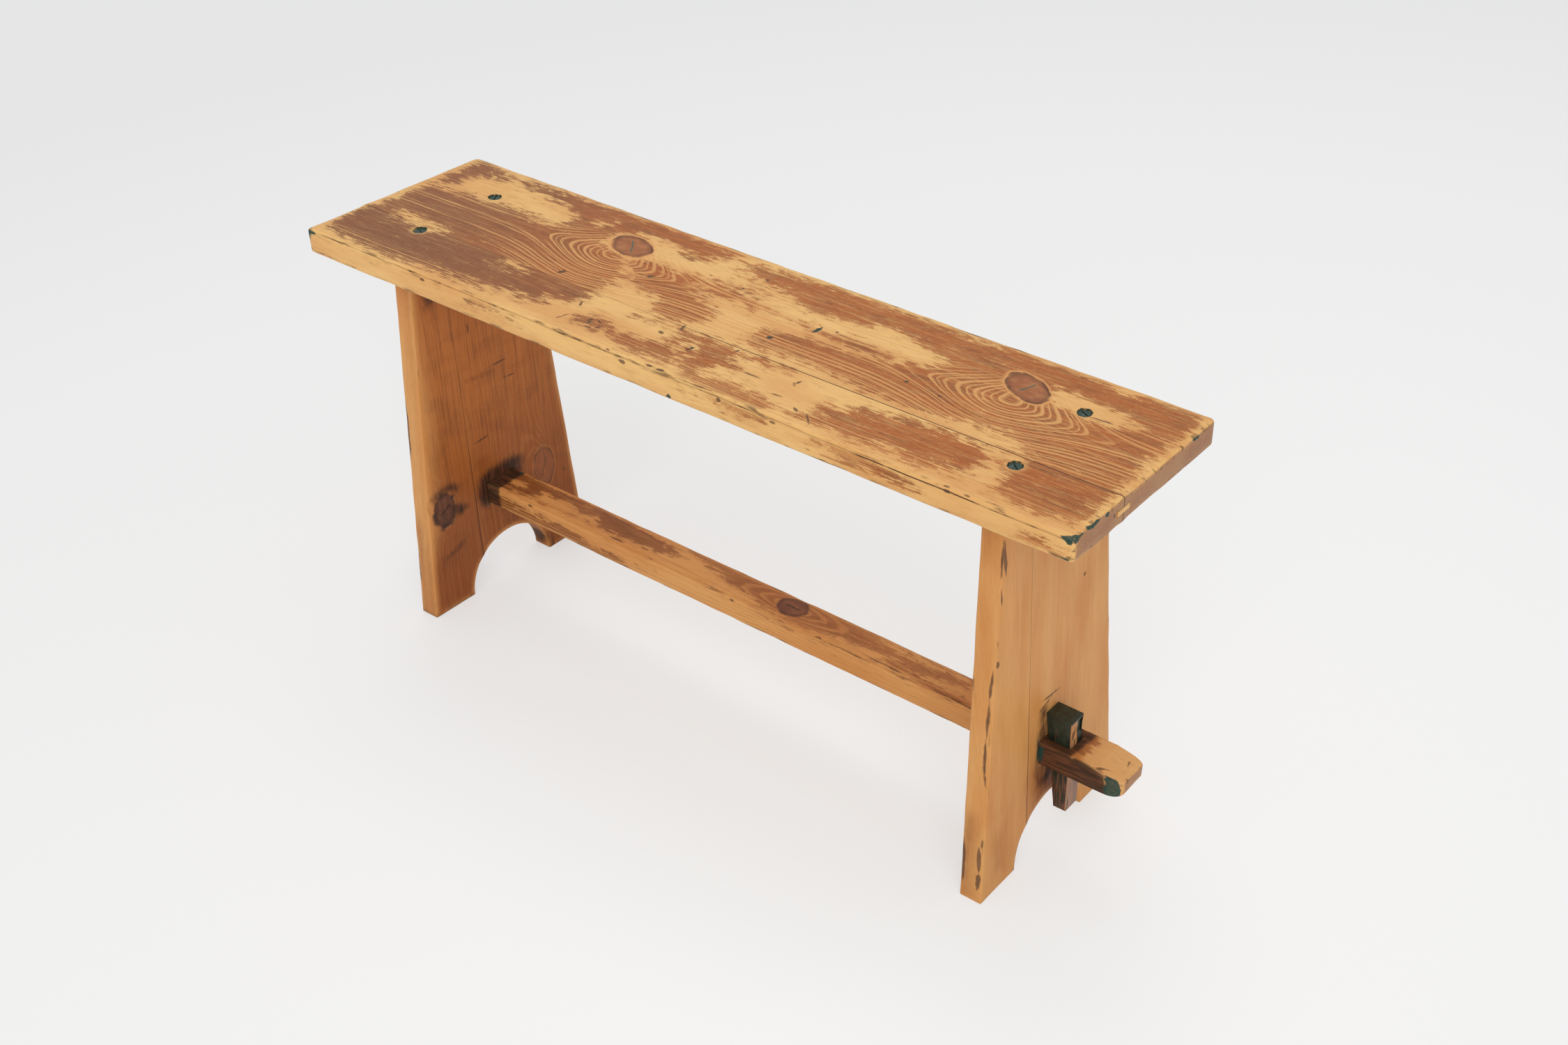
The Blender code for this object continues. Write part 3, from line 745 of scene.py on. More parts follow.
# %% Stain and grime on the stretcher
RAIL_STAIN = on(
    "stretcher top",
    [(-366, 20), (-300, 22), (-230, 22), (-160, 18), (-96, 12), (-76, 4), (-110, -6), (-180, -9),
     (-250, -11), (-310, -14), (-366, -20)],
    [(-100, 24), (0, 26), (150, 26), (300, 26), (300, 4), (240, -4), (180, -2), (130, -10), (100, -17),
     (60, -15), (24, -6), (-20, -2), (-70, 8)],
    [(250, 26), (366, 26), (366, -2), (320, 6)],
    [(200, -8), (280, -12), (366, -14), (366, -20), (260, -19)],
    [(398, -24), (446, -24), (447, 24), (398, 24)],
) + on(
    "stretcher front",
    [(-366, 128), (-300, 126), (-230, 125), (-120, 117), (-180, 107), (-366, 104)],
    [(-60, 141), (160, 142), (200, 137), (60, 134)],
    [(390, 141), (472, 139), (475, 131), (479, 124), (482, 100), (390, 100)],
    [(-388, 141), (-472, 139), (-480, 122), (-476, 100), (-388, 100)],
) + on(
    "stretcher back", [(-200, 130), (40, 134), (160, 126), (60, 114), (-180, 112)],
    [(388, 141), (452, 140), (460, 124), (448, 104), (388, 100)],
    [(-388, 141), (-446, 139), (-458, 126), (-450, 102), (-388, 100)],
)
RAIL_GRIME = on(
    "stretcher top", block(-380, -345, -24, 24), [(390, -30), (437, -30), (444, 30), (390, 30)],
    [(-388, -30), (-436, -30), (-441, 30), (-388, 30)],
) + on(
    "stretcher front", block(-380, -345, 106, 141),
    [(390, 100), (390, 147), (440, 142), (458, 139), (476, 134), (478, 124), (480, 112), (482, 100)],
    [(-388, 145), (-450, 145), (-462, 134), (-456, 122), (-466, 100), (-388, 100)],
) + on(
    "stretcher back", block(-380, -352, 106, 141),
    [(388, 145), (424, 145), (432, 132), (426, 118), (434, 100), (388, 100)],
    [(-388, 145), (-428, 145), (-438, 130), (-430, 114), (-442, 100), (-388, 100)],
)
print(len(RAIL_STAIN), "patches of stain and", len(RAIL_GRIME), "of grime on the stretcher")

# %% Paint, holes in the stain, and nicks on the stretcher
RAIL_PAINT = on(
    "stretcher front",
    [(475, 130), (480, 136), (487, 138), (494, 133), (497, 124), (497, 114), (490, 110), (478, 110),
     (475, 118), (478, 124)],
) + slits(
    "stretcher front", (404, 124, 22, 5, 88),
) + slits(
    "stretcher top", (-349, 18, 8, 4),
)
RAIL_RUBBED = on(
    "stretcher top",
    [(-300, 5), (-272, 3), (-240, 0), (-214, 4), (-206, -5), (-224, -11), (-252, -9), (-276, -13),
     (-306, -10), (-298, -3)],
    [(-348, 3), (-332, 7), (-320, -3), (-348, -9)],
    [(-172, 26), (-120, 27), (-98, 22), (-130, 19), (-170, 21)],
    [(-330, 26), (-290, 28), (-258, 24), (-300, 21)],
    [(180, 12), (230, 16), (290, 14), (240, 9)],
)
RAIL_NICKS = slits(
    "stretcher top", (125, -20, 10, 3, 10), (210, -15, 60, 1.4, -2), (300, -18, 70, 1.6, -1),
    (-165, -15, 26, 2, 2),
) + slits(
    "tip top", (472, -15.5, 22, 2, 31), (467, -20.4, 14, 2, 4), (485.5, 6, 13, 3.4, -75),
    (487, -4, 9, 1.8, -85),
) + slits(
    "stretcher front", (-296, 134, 7, 3), (480, 134, 9, 6, 10), (8, 134, 7, 3),
)
rail_length = round((rail_high.x - rail_low.x) / MM)
print(len(RAIL_NICKS), "nicks on the stretcher, which is", rail_length, "mm long")

# %% [markdown]
# ## Ageing the boards
# Each board is refined, aged by the tree with its own family's stencils, and kept as a plain mesh. A seed
# for each board keeps two boards from being worn in the same places. The outline stays inside the solid,
# so the piece can stand for the solid.

# %% Pieces and what belongs to each
BOARD_STEP = 4 * MM
SLIM_STEP = 2.5 * MM
MARK_STEP = 0.9 * MM
FAR_SEAM = 10.0

PLAIN = {
    "stain": [], "rubbed": [], "paint": [], "grime": [], "nicks": [], "seam": FAR_SEAM,
    "step": SLIM_STEP, "softness": 9 * MM, "smudge": 4 * MM, "wear": 0.9 * MM, "depth": 0.7 * MM,
}
LEG = PLAIN | {
    "seam": leg_seam, "step": BOARD_STEP, "softness": 30 * MM, "smudge": 9 * MM, "wear": 0.6 * MM,
    "depth": 0.3 * MM,
}
FAMILIES = {
    "seat": PLAIN | {
        "stain": SEAT_STAIN, "rubbed": SEAT_RUBBED, "paint": SEAT_PAINT, "grime": SEAT_GRIME,
        "nicks": SEAT_NICKS + FRONT_CHIPS, "seam": seat_seam, "step": BOARD_STEP, "softness": 17 * MM,
    },
    "left_leg": LEG | {"stain": LEFT_STAIN, "grime": LEFT_GRIME_AND_SHADE, "nicks": LEFT_NICKS},
    "right_leg": LEG | {
        "stain": RIGHT_STAIN, "paint": RIGHT_PAINT, "grime": RIGHT_GRIME, "nicks": RIGHT_NICKS,
    },
    "stretcher": PLAIN | {
        "stain": RAIL_STAIN, "rubbed": RAIL_RUBBED, "paint": RAIL_PAINT, "grime": RAIL_GRIME,
        "nicks": RAIL_NICKS,
    },
    "left_wedge": PLAIN,
    "right_wedge": PLAIN | {"nicks": WEDGE_NICKS, "depth": 2.4 * MM},
}
WORN_NODES = [
    node for family in FAMILIES for node in sorted(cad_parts)
    if node.startswith(family) and not node.endswith("tongue") and "screw" not in node
]
print("to be worn:", WORN_NODES)


# %% Wearing them
SMOOTH_WITHIN = radians(35)
MARK_SOFTNESS = 2 * MM
ARRIS_REACH = 6 * MM
UNEVENNESS = 0.22 * MM
SEAM_CALM = 10 * MM


def aged(node, seed):
    """A worn, marked copy of a solid as a plain mesh."""
    look = next(look for family, look in FAMILIES.items() if node.startswith(family))
    small = fine_spots(look["paint"] + look["nicks"], MARK_STEP)
    piece = refined(node, "worn_" + node, look["step"], small)
    drawn = {
        name.capitalize(): stencils(name, look[name])
        for name in ("stain", "rubbed", "paint", "grime", "nicks") if look[name]
    }
    grown(piece, age, drawn | {
        "Softness": look["softness"], "Grime_Softness": look["smudge"], "Mark_Softness": MARK_SOFTNESS,
        "Arris_Wear": look["wear"], "Arris_Reach": ARRIS_REACH, "Unevenness": UNEVENNESS,
        "Nick_Depth": look["depth"], "Seam": look["seam"], "Seam_Calm": SEAM_CALM, "Seed": float(seed),
    })
    for stencil in drawn.values():
        bpy.data.objects.remove(stencil)
    piece.data.shade_smooth()
    piece.data.set_sharp_from_angle(angle=SMOOTH_WITHIN)
    return piece


worn = {node: aged(node, seed) for seed, node in enumerate(WORN_NODES)}
for node, piece in worn.items():
    print(piece.name, len(piece.data.polygons), "triangles")

# %% [markdown]
# ## Screws
# Four slotted wood screws hold the seat. They are alike, so one tree joins a screw from two cones and a
# rod, cuts its slot, and sets a copy on every point with its slot at an angle of its own. The points are
# the middles of the solids' screws.

# %% The screw tree
HEAD_SIDES, SHANK_SIDES = 48, 24
POINT_SHARE = 0.1
SLOT_REACH = 3
TURNS = 3


def shifted(tree, shape, height):
    """A shape moved up or down by a value."""
    move = add(tree, "ShaderNodeCombineXYZ", {"Z": height})
    node = add(tree, "GeometryNodeTransform", {"Geometry": shape, "Translation": move.outputs[0]})
    return node.outputs[0]


def screw_tree():
    """A screw of cones and a rod with its slot cut, set on every point of the object."""
    tree, given, output = geometry_tree(
        "slotted screw",
        Head_Radius="Float", Head_Depth="Float", Shank_Radius="Float", Length="Float",
        Slot_Width="Float", Slot_Depth="Float", Seed="Int", Material="Material",
    )
    radius, shank = Flow(tree, given["Head_Radius"]), Flow(tree, given["Shank_Radius"])
    depth, length = Flow(tree, given["Head_Depth"]), Flow(tree, given["Length"])
    cone = add(tree, "GeometryNodeMeshCone", {
        "Vertices": HEAD_SIDES, "Side Segments": 2, "Radius Top": radius, "Radius Bottom": shank,
        "Depth": depth,
    })
    rod = add(tree, "GeometryNodeMeshCylinder", {
        "Vertices": SHANK_SIDES, "Radius": shank, "Depth": length - depth,
    })
    point = add(tree, "GeometryNodeMeshCone", {
        "Vertices": SHANK_SIDES, "Radius Top": shank, "Radius Bottom": shank * POINT_SHARE,
        "Depth": depth,
    })
    head = shifted(tree, cone.outputs[0], depth * -1)
    rod_end = shifted(tree, rod.outputs[0], (length + depth) * -0.5)
    tip = shifted(tree, point.outputs[0], (length + depth) * -1)
    slot_size = add(tree, "ShaderNodeCombineXYZ", {
        "X": radius * SLOT_REACH, "Y": given["Slot_Width"], "Z": Flow(tree, given["Slot_Depth"]) * 2,
    })
    slot = add(tree, "GeometryNodeMeshCube", {"Size": slot_size.outputs[0]})
    whole = add(tree, "GeometryNodeMeshBoolean", operation="UNION", solver="EXACT")
    for part in (head, rod_end, tip):
        tree.links.new(part, whole.inputs["Mesh 2"])
    cut = add(tree, "GeometryNodeMeshBoolean", {"Mesh 1": whole.outputs[0], "Mesh 2": slot.outputs[0]},
              operation="DIFFERENCE", solver="EXACT")
    angle = add(tree, "FunctionNodeRandomValue", {"Seed": given["Seed"]}, data_type="FLOAT")
    turn = add(tree, "ShaderNodeCombineXYZ", {"Z": Flow(tree, angle.outputs["Value"]) * TURNS})
    copies = add(tree, "GeometryNodeInstanceOnPoints", {
        "Points": given["Geometry"], "Instance": cut.outputs[0], "Rotation": turn.outputs[0],
    })
    finish_tree(tree, copies.outputs[0], given["Material"], output)
    return tree


# %% Four screws in one piece
HEAD_CLEARANCE = 0.2 * MM
POINT_CLEARANCE = 1 * MM
SCREW_NODES = [node for node in sorted(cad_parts) if "screw" in node]
screw_low, screw_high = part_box(SCREW_NODES[0])
screw_tops = bpy.data.meshes.new("screw tops")
screw_tops.from_pydata(
    [((low.x + high.x) / 2, (low.y + high.y) / 2, high.z) for low, high in map(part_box, SCREW_NODES)],
    [], [],
)
screws = grown(linked("seat_screws", screw_tops), screw_tree(), {
    "Head_Radius": (screw_high.x - screw_low.x) / 2 - HEAD_CLEARANCE, "Head_Depth": 4 * MM,
    "Shank_Radius": 2.1 * MM, "Length": screw_high.z - screw_low.z - POINT_CLEARANCE,
    "Slot_Width": 1.5 * MM, "Slot_Depth": 1.4 * MM, "Seed": 3,
})
screw_width = round((screw_high.x - screw_low.x) / MM, 1)
print("four screws of", screw_width, "mm, with", len(screws.data.polygons), "faces")

# %% [markdown]
# ## Places and noise in a board's material
# Wood is a solid pattern: what shows on a face is a cut through the tree. So the material reads the place
# in space, in millimetres, and calls its three directions along the grain, across the board and through
# its thickness. Most noise in it is drawn out along the grain.

# %% Colours and places


def shade(red, green, blue):
    """A colour given as on a screen, 0 to 255, as the linear values that sockets take."""
    parts = [part / 255 for part in (red, green, blue)]
    return (*[part / 12.92 if part < 0.04 else ((part + 0.055) / 1.055) ** 2.4 for part in parts], 1)


def over(tree, below, above, amount):
    """One colour laid over another, where the amount is 1."""
    node = add(tree, "ShaderNodeMix", data_type="RGBA")
    for value, socket in ((amount, node.inputs[0]), (below, node.inputs[6]), (above, node.inputs[7])):
        plug(tree, value, socket)
    return Flow(tree, node.outputs[2])


def board_places(tree, grain, lean):
    """A place in millimetres along, across and through a board whose grain runs along x or z."""
    place = add(tree, "ShaderNodeTexCoord").outputs["Object"]
    parts = add(tree, "ShaderNodeSeparateXYZ", {0: place}).outputs
    x, y, z = [Flow(tree, part) / MM for part in parts]
    return (x, y, z) if grain == "x" else (z, y, x + z * lean)


def spots(tree, places, kind, board_seed=0.0):
    """Noise of one kind, about 0.5. A board's own seed sets it apart from its neighbours."""
    size, detail, seed = NOISES[kind]
    seed = seed + board_seed
    vector = add(tree, "ShaderNodeCombineXYZ")
    for value, width, socket in zip(places, size, vector.inputs):
        plug(tree, value / width + seed, socket)
    node = add(tree, "ShaderNodeTexNoise", {"Vector": vector.outputs[0], "Scale": 1.0, "Detail": detail})
    return Flow(tree, node.outputs[0])


def mark(tree, name):
    """A value that the ageing tree kept on the mesh."""
    return Flow(tree, add(tree, "ShaderNodeAttribute", attribute_name=name).outputs["Fac"])


# %% [markdown]
# ## The noises of old wood
# Every streak, patch and speck in the materials is one of these noises. Each has the size of its spots
# along, across and through the board in millimetres, how much finer detail it has, and a seed that keeps
# it from lying where another one does. Long and narrow spots look like grain, and round ones like wear.

# %% The table of noises
NOISES = {
    "sway of the rings": ((240, 500, 500), 1.0, 0.0),
    "wobble of the rings": ((50, 9, 9), 3.0, 7.0),
    "faint rings": ((60, 9, 9), 2.0, 3.0),
    "knot outline": ((9, 9, 9), 2.0, 0.0),
    "warm areas": ((150, 45, 45), 2.0, 0.0),
    "light bands": ((600, 14, 14), 2.0, 3.0),
    "old streaks": ((30, 1.4, 1.4), 4.0, 75.0),
    "where streaks stay": ((60, 20, 20), 2.0, 85.0),
    "ragged ends": ((34, 1.7, 1.7), 4.0, 11.0),
    "patches": ((13, 5, 5), 5.0, 5.0),
    "rubbed areas": ((90, 26, 26), 3.0, 15.0),
    "specks": ((7, 1.1, 1.1), 2.0, 25.0),
    "dust": ((1.8, 0.9, 0.9), 2.0, 65.0),
    "scratches": ((16, 0.9, 0.9), 3.0, 35.0),
    "thin stain": ((45, 3, 3), 4.0, 45.0),
    "grain of the stain": ((60, 1.5, 1.5), 3.0, 55.0),
    "seat clouds": ((50, 9, 9), 4.0, 9.0),
    "leg clouds": ((24, 50, 50), 4.0, 9.0),
    "knot lumps": ((18, 8, 8), 3.0, 23.0),
    "knot checks": ((0.17, 1.3, 1.3), 2.0, 5.0),
    "wander of a crack": ((8, 8, 8), 2.0, 2.0),
    "broken bark": ((14, 14, 14), 2.0, 8.0),
    "arris dirt": ((26, 5, 5), 3.0, 13.0),
    "wobble of a line": ((60, 400, 400), 2.0, 21.0),
    "short breaks": ((14, 400, 400), 3.0, 17.0),
    "long breaks": ((150, 400, 400), 1.0, 27.0),
    "rim of a hole": ((4, 4, 4), 2.0, 31.0),
    "fibres": ((22, 0.8, 0.8), 3.0, 0.0),
    "clear flecks": ((5, 1.2, 1.2), 2.0, 4.0),
    "soot": ((26, 3, 3), 4.0, 95.0),
    "streaks in paint": ((26, 1.8, 1.8), 3.0, 2.0),
    "patches in paint": ((9, 5, 5), 3.0, 6.0),
}
print(len(NOISES), "kinds of noise")

# %% [markdown]
# ## Growth rings that flow round knots
# The rings of a trunk are cylinders round its heart, and a board is a plank cut beside or through it, so
# the distance from the heart says which ring a place is in. A branch pushes the rings outwards round its
# foot. Taking a bump off the distance near each knot bends the rings there just so, and gives the pointed
# loops left and right of a knot with no more work.

# %% Rings and knots
LINE_SHARES = (0.45, 0.8, 0.92, 1.0)
CLOSE_SHARE = 3.2
TIGHT_SHARE = 0.9
RING_WOBBLE = 3
YEARS_SPAN = 13
YEARS_CHANGE = 2.6
YEAR_SHARE, FAINT_SHARE, KNOT_SHARE, CLEARER_SHARE = 0.75, 0.8, 0.9, 0.35
RING_SHOWS = (0.72, 1.3)
KNOT_RAGGED = 0.22


def ring_distance(tree, places, heart, wander, knots):
    """How far in mm a place is from the tree's heart, swollen round each knot, and how near a knot is."""
    along, across, through = places
    sway = (spots(tree, places, "sway of the rings") - 0.5) * wander
    y, z = across - heart[0] + sway, through - heart[1]
    out = (y * y + z * z) ** 0.5
    close = out * 0
    for knot in knots:
        u, v = (along - knot["at"][0]) / knot["reach"][0], (across - knot["at"][1]) / knot["reach"][1]
        away = (u * u + v * v) ** 0.5
        wide, tight = (away * away * -1).math("EXPONENT"), (away * -CLOSE_SHARE).math("EXPONENT")
        out = out - (wide + tight * TIGHT_SHARE) * knot["swell"]
        close = close + wide
    return out + (spots(tree, places, "wobble of the rings") - 0.5) * RING_WOBBLE, close


def ring_lines(tree, places, out, close, period, clearer):
    """1 on the dark late wood of a ring and 0 on the rest. Good and bad years change a ring's width."""
    years = add(tree, "ShaderNodeTexNoise", {"W": out / YEARS_SPAN, "Scale": 1.0}, noise_dimensions="1D")
    steady = out / period + (Flow(tree, years.outputs[0]) - 0.5) * YEARS_CHANGE
    start, full, end, over_it = LINE_SHARES
    part = steady.math("FRACT")
    line = part.ramp(start, full) * part.ramp(end, over_it).rest()
    year = add(tree, "ShaderNodeTexWhiteNoise", {"W": steady.math("FLOOR")}, noise_dimensions="1D")
    faint = spots(tree, places, "faint rings") * FAINT_SHARE
    strong = Flow(tree, year.outputs["Value"]) * YEAR_SHARE + faint
    return line * (strong + close * KNOT_SHARE + clearer * CLEARER_SHARE).ramp(*RING_SHOWS)


def knot_distance(tree, places, knot):
    """How far from a knot's middle a place is, as a share of the knot's own radius there."""
    c, s = cos(radians(knot["turn"])), sin(radians(knot["turn"]))
    u, v = places[0] - knot["at"][0], places[1] - knot["at"][1]
    a, b = (u * c + v * s) / knot["size"][0], (v * c - u * s) / knot["size"][1]
    return (a * a + b * b) ** 0.5 + (spots(tree, places, "knot outline") - 0.5) * KNOT_RAGGED


# %% [markdown]
# ## Pine, layer by layer
# The material is laid up in the order in which the real surface came about: bare wood with fibres and
# late wood, stain that the dense late wood refused, knots, grime, which on the left leg's feet is painted
# shade as well, paint, and last the nicks that cut through everything. Each layer is a colour and a mask.
# The same masks then set the roughness and a fine relief, because late wood stands proud where soft wood
# has worn away.

# %% What wood looks like, bare
PALE_PINE = shade(236, 189, 119)
WARM_PINE = shade(224, 167, 101)
LEG_PALE = shade(217, 157, 92)
LEG_WARM = shade(206, 139, 74)
LEG_LIGHT = shade(220, 169, 108)
LATEWOOD = shade(214, 148, 84)
LEG_LATE = shade(186, 116, 58)
FIBRE_BROWN = shade(170, 108, 56)
END_BROWN = shade(158, 112, 80)
STAIN_DEEP = shade(112, 62, 32)
LEG_STAIN = shade(138, 70, 24)
LEG_STAIN_HIGH = shade(182, 106, 44)
LEG_DEEP = shade(104, 50, 20)
KNOT_RED = shade(160, 94, 56)
KNOT_LIGHT = shade(186, 122, 76)
KNOT_DARK = shade(88, 48, 30)
HALO_ORANGE = shade(222, 154, 90)
# The browns of grime, which on the left leg's feet paint shade as well.
GRIME_AND_SHADE_BROWN = shade(36, 25, 18)
GRIME_AND_SHADE_RED = shade(88, 52, 34)
DIRT_BROWN = shade(72, 42, 26)
CUT_BROWN = shade(78, 50, 36)
PAINT_GREEN = shade(32, 66, 58)
BAND_SHARE = 0.35
FIBRE_SHARE = 0.28
FRESH_SHARE = 0.8


def bare_wood(tree, places, facts, line, fibre):
    """The colour of clean wood: pale and warm areas, late wood, fibres, and a fresher part."""
    broad = spots(tree, places, "warm areas", facts["seed"])
    colour = over(tree, facts["pale"], facts["warm"], broad.ramp(0.35, 0.7))
    bands = spots(tree, places, "light bands", facts["seed"])
    colour = over(tree, colour, facts["light"], bands.ramp(0.48, 0.72) * BAND_SHARE)
    colour = over(tree, colour, facts["late"], line * facts["on bare"])
    colour = over(tree, colour, FIBRE_BROWN, fibre.ramp(0.52, 0.78) * FIBRE_SHARE)
    left_over = spots(tree, places, "old streaks").ramp(0.5, 0.72)
    here = spots(tree, places, "where streaks stay").ramp(0.42, 0.62)
    colour = over(tree, colour, FIBRE_BROWN, left_over * here * facts["left over"])
    return over(tree, colour, facts["light"], places[0].ramp(*facts["fresh"]) * FRESH_SHARE)


# %% What was put on it
LOSSES = {"ragged ends": 1.1, "patches": 1.3, "specks": 0.6, "dust": 0.5}
RUBBED_LOSS = 0.3
STEEP_SHARE = 0.6
COAT_EDGE, HAZE_EDGE = (0.36, 0.54), (-0.05, 0.8)
FINE_GAPS, THIN_GAPS = 0.3, 0.5
EVEN_TO_WORN, LEAST_GAPS, MORE_GAPS = (-220, 120), 0.3, 0.3
REFUSED_BY_RINGS = 0.85
RUBBED_OFF_ARRISES = 0.7


def stain_layer(tree, places, ragged, line, fibre, clear):
    """How much stain is left: a thin haze, and where more is left a dense coat with ragged ends."""
    noises = {kind: spots(tree, places, kind) for kind in LOSSES}
    loss = spots(tree, places, "rubbed areas").ramp(0.42, 0.75) * -RUBBED_LOSS
    for kind, share in LOSSES.items():
        loss = loss + (noises[kind] - 0.5) * share
    left = mark(tree, "stain") + loss * ragged
    steep = STEEP_SHARE * ragged
    amount = left.ramp(*COAT_EDGE) * steep + left.ramp(*HAZE_EDGE) * (1 - steep)
    fine = spots(tree, places, "scratches").ramp(0.56, 0.72) + noises["specks"].ramp(0.5, 0.66)
    thin = spots(tree, places, "thin stain").ramp(0.48, 0.72) * THIN_GAPS
    gaps = (fine + fibre.ramp(0.58, 0.74)) * FINE_GAPS + thin
    gaps = gaps * ragged * (places[0].ramp(*EVEN_TO_WORN) * MORE_GAPS + LEAST_GAPS)
    left_on = amount * gaps.rest() * (line * REFUSED_BY_RINGS).rest() * clear
    return left_on * (mark(tree, "arris") * RUBBED_OFF_ARRISES).rest(), noises["patches"]


def stain_colour(tree, places, facts):
    """From one colour at a board's start to another at its end, and darker where it lies thick."""
    thick = spots(tree, places, facts["clouds"])
    left, right = facts["stain"]
    colour = over(tree, left, right, places[0].ramp(*facts["stain span"]))
    grain = spots(tree, places, "grain of the stain").ramp(0.48, 0.66) * 0.45
    return over(tree, colour, facts["deep"], thick.ramp(0.42, 0.8) * facts["thick share"] + grain)


KNOT_RING_WIDTH = 1.9
CRACK_WANDER = 5
CRACK_WIDTH = (0.5, 1.7)


def knot_layer(tree, places, colour, knot, distance):
    """A knot: late wood close round it, a dark rim of bark, rings and small checks inside, and a crack."""
    rings = (distance * (knot["size"][1] / KNOT_RING_WIDTH)).math("FRACT")
    lumps = spots(tree, places, "knot lumps")
    inner = over(tree, knot["colour"], knot["light"], lumps.ramp(0.42, 0.68) * 0.8)
    inner = over(tree, inner, KNOT_DARK, rings.ramp(0.3, 0.9) * 0.3)
    u, v = places[0] - knot["at"][0], places[1] - knot["at"][1]
    angle = v.math("ARCTAN2", u)
    checks = spots(tree, (angle, distance, distance), "knot checks").ramp(0.6, 0.72)
    inner = over(tree, inner, KNOT_DARK, checks * distance.ramp(0.1, 0.5) * 0.6)
    inner = over(tree, inner, KNOT_DARK, distance.ramp(0.55, 1.0) * 0.55)
    c, s = cos(radians(knot["crack"])), sin(radians(knot["crack"]))
    wander = (spots(tree, places, "wander of a crack") - 0.5) * CRACK_WANDER
    off_line = (v * c - u * s + wander).math("ABSOLUTE")
    crack = off_line.ramp(*CRACK_WIDTH).rest() * distance.ramp(0.4, 0.65).rest()
    inner = over(tree, inner, knot.get("crack colour", GRIME_AND_SHADE_BROWN), crack * 0.9)
    colour = over(tree, colour, HALO_ORANGE, distance.ramp(1.0, 1.25).rest() * knot["halo"])
    colour = over(tree, colour, inner, distance.ramp(0.88, 1.06).rest() * knot["dark"])
    rim = distance.band(0.92, 1.0, knot["rim"]) * spots(tree, places, "broken bark").ramp(0.35, 0.6)
    return over(tree, colour, knot.get("rim colour", KNOT_DARK), rim * 0.8)


# %% Dirt in the arrises
FRONT_SKIN = (1.4, 3)
LINE_WOBBLE = 1.6
LINE_WIDTH = (0.35, 0.95)
HOLE_REACH = (7.2, 8.0)
HOLE_DEPTHS = (10, 8)
HOLE_RAGGED = 3


def arris_dirt(tree, places, facts, patchy):
    """Dark dirt left along the arrises, and where a board has a rim, a line just below it in front."""
    worn = mark(tree, "arris").ramp(0.55, 1.0)
    dirty = facts["dirty"]
    dirt = worn * spots(tree, places, "arris dirt").ramp(0.72 - dirty, 0.9 - dirty) * 0.7
    if facts["rim"] is None:
        return dirt
    wobble = (spots(tree, places, "wobble of a line") - 0.5) * LINE_WOBBLE
    height, fall = facts["rim"]
    off_rim = (places[2] - height + places[0] * fall + wobble).math("ABSOLUTE")
    in_front = places[1].ramp(*[seat_low.y / MM + depth for depth in FRONT_SKIN]).rest()
    broken = spots(tree, places, "short breaks") + spots(tree, places, "long breaks")
    line = off_rim.ramp(*LINE_WIDTH).rest() * in_front * (broken.ramp(0.85, 1.1) * 0.6 + 0.35)
    return dirt.math("MAXIMUM", line)


def screw_hole_paint(tree, places, holes):
    """Paint left in and just round the holes over the screws."""
    ragged = (spots(tree, places, "rim of a hole") - 0.5) * HOLE_RAGGED
    paint = ragged * 0
    for along, across in holes:
        a, b = places[0] - along, places[1] - across
        paint = paint.math("MAXIMUM", ((a * a + b * b) ** 0.5 + ragged).ramp(*HOLE_REACH).rest())
    return paint * places[2].ramp(*[seat_high.z / MM - depth for depth in HOLE_DEPTHS])


# %% [markdown]
# ## What a board's maker has to say
# A board is described by a few facts, in millimetres: where the heart of its tree lies, how wide its rings
# are, its knots, its ends, where its seam is, and how much stain is left. What a board doesn't say comes
# from this list. Two places in a row are where something starts and where it has fully come: "fresh" wood,
# the "zone" that shows rings, the rings that grow "clearer", and a seam that "opens".

# %% Facts of a board
NOWHERE = (-2000, -1999)
BOARD_FACTS = {
    "heart": (0, 400), "period": 3.4, "wander": 8, "lines": 0.7, "zone": NOWHERE, "clearer": NOWHERE,
    "knots": (), "holes": (), "lean": 0, "seed": 0.0, "ends": (-2000, 2000), "fresh": (1998, 1999),
    "pale": PALE_PINE, "warm": WARM_PINE, "light": PALE_PINE, "late": LATEWOOD, "on bare": 0.55,
    "left over": 0.4, "stain": (LEG_STAIN, LEG_STAIN_HIGH), "stain span": (-420, 200),
    "deep": STAIN_DEEP, "thick share": 0.6, "clouds": "seat clouds", "coat": 0.95, "ragged": 1.0,
    "dirty": 0.2, "rim": None, "seam": None, "open": 1.0, "opens": (-60, 40),
}

# %% A material and its relief
BUMP_STRENGTH = 0.9


def new_material(name):
    """A material with a Principled shader. Gives it, its tree and the shader."""
    material = bpy.data.materials.new(name)
    material.use_nodes = True
    return material, material.node_tree, material.node_tree.nodes["Principled BSDF"]


def set_relief(tree, surface, height, strength=BUMP_STRENGTH):
    """A fine relief, up to a millimetre high, from a value."""
    bump = add(tree, "ShaderNodeBump", {"Distance": MM, "Strength": strength, "Height": height})
    plug(tree, bump.outputs[0], surface.inputs["Normal"])


# %% The whole material
END_SKIN = (0.5, 1.5)
SEAM_WIDTH = (0.35, 0.85)
WOOD_ROUGHNESS = 0.38
WOOD_SHINE = 0.25


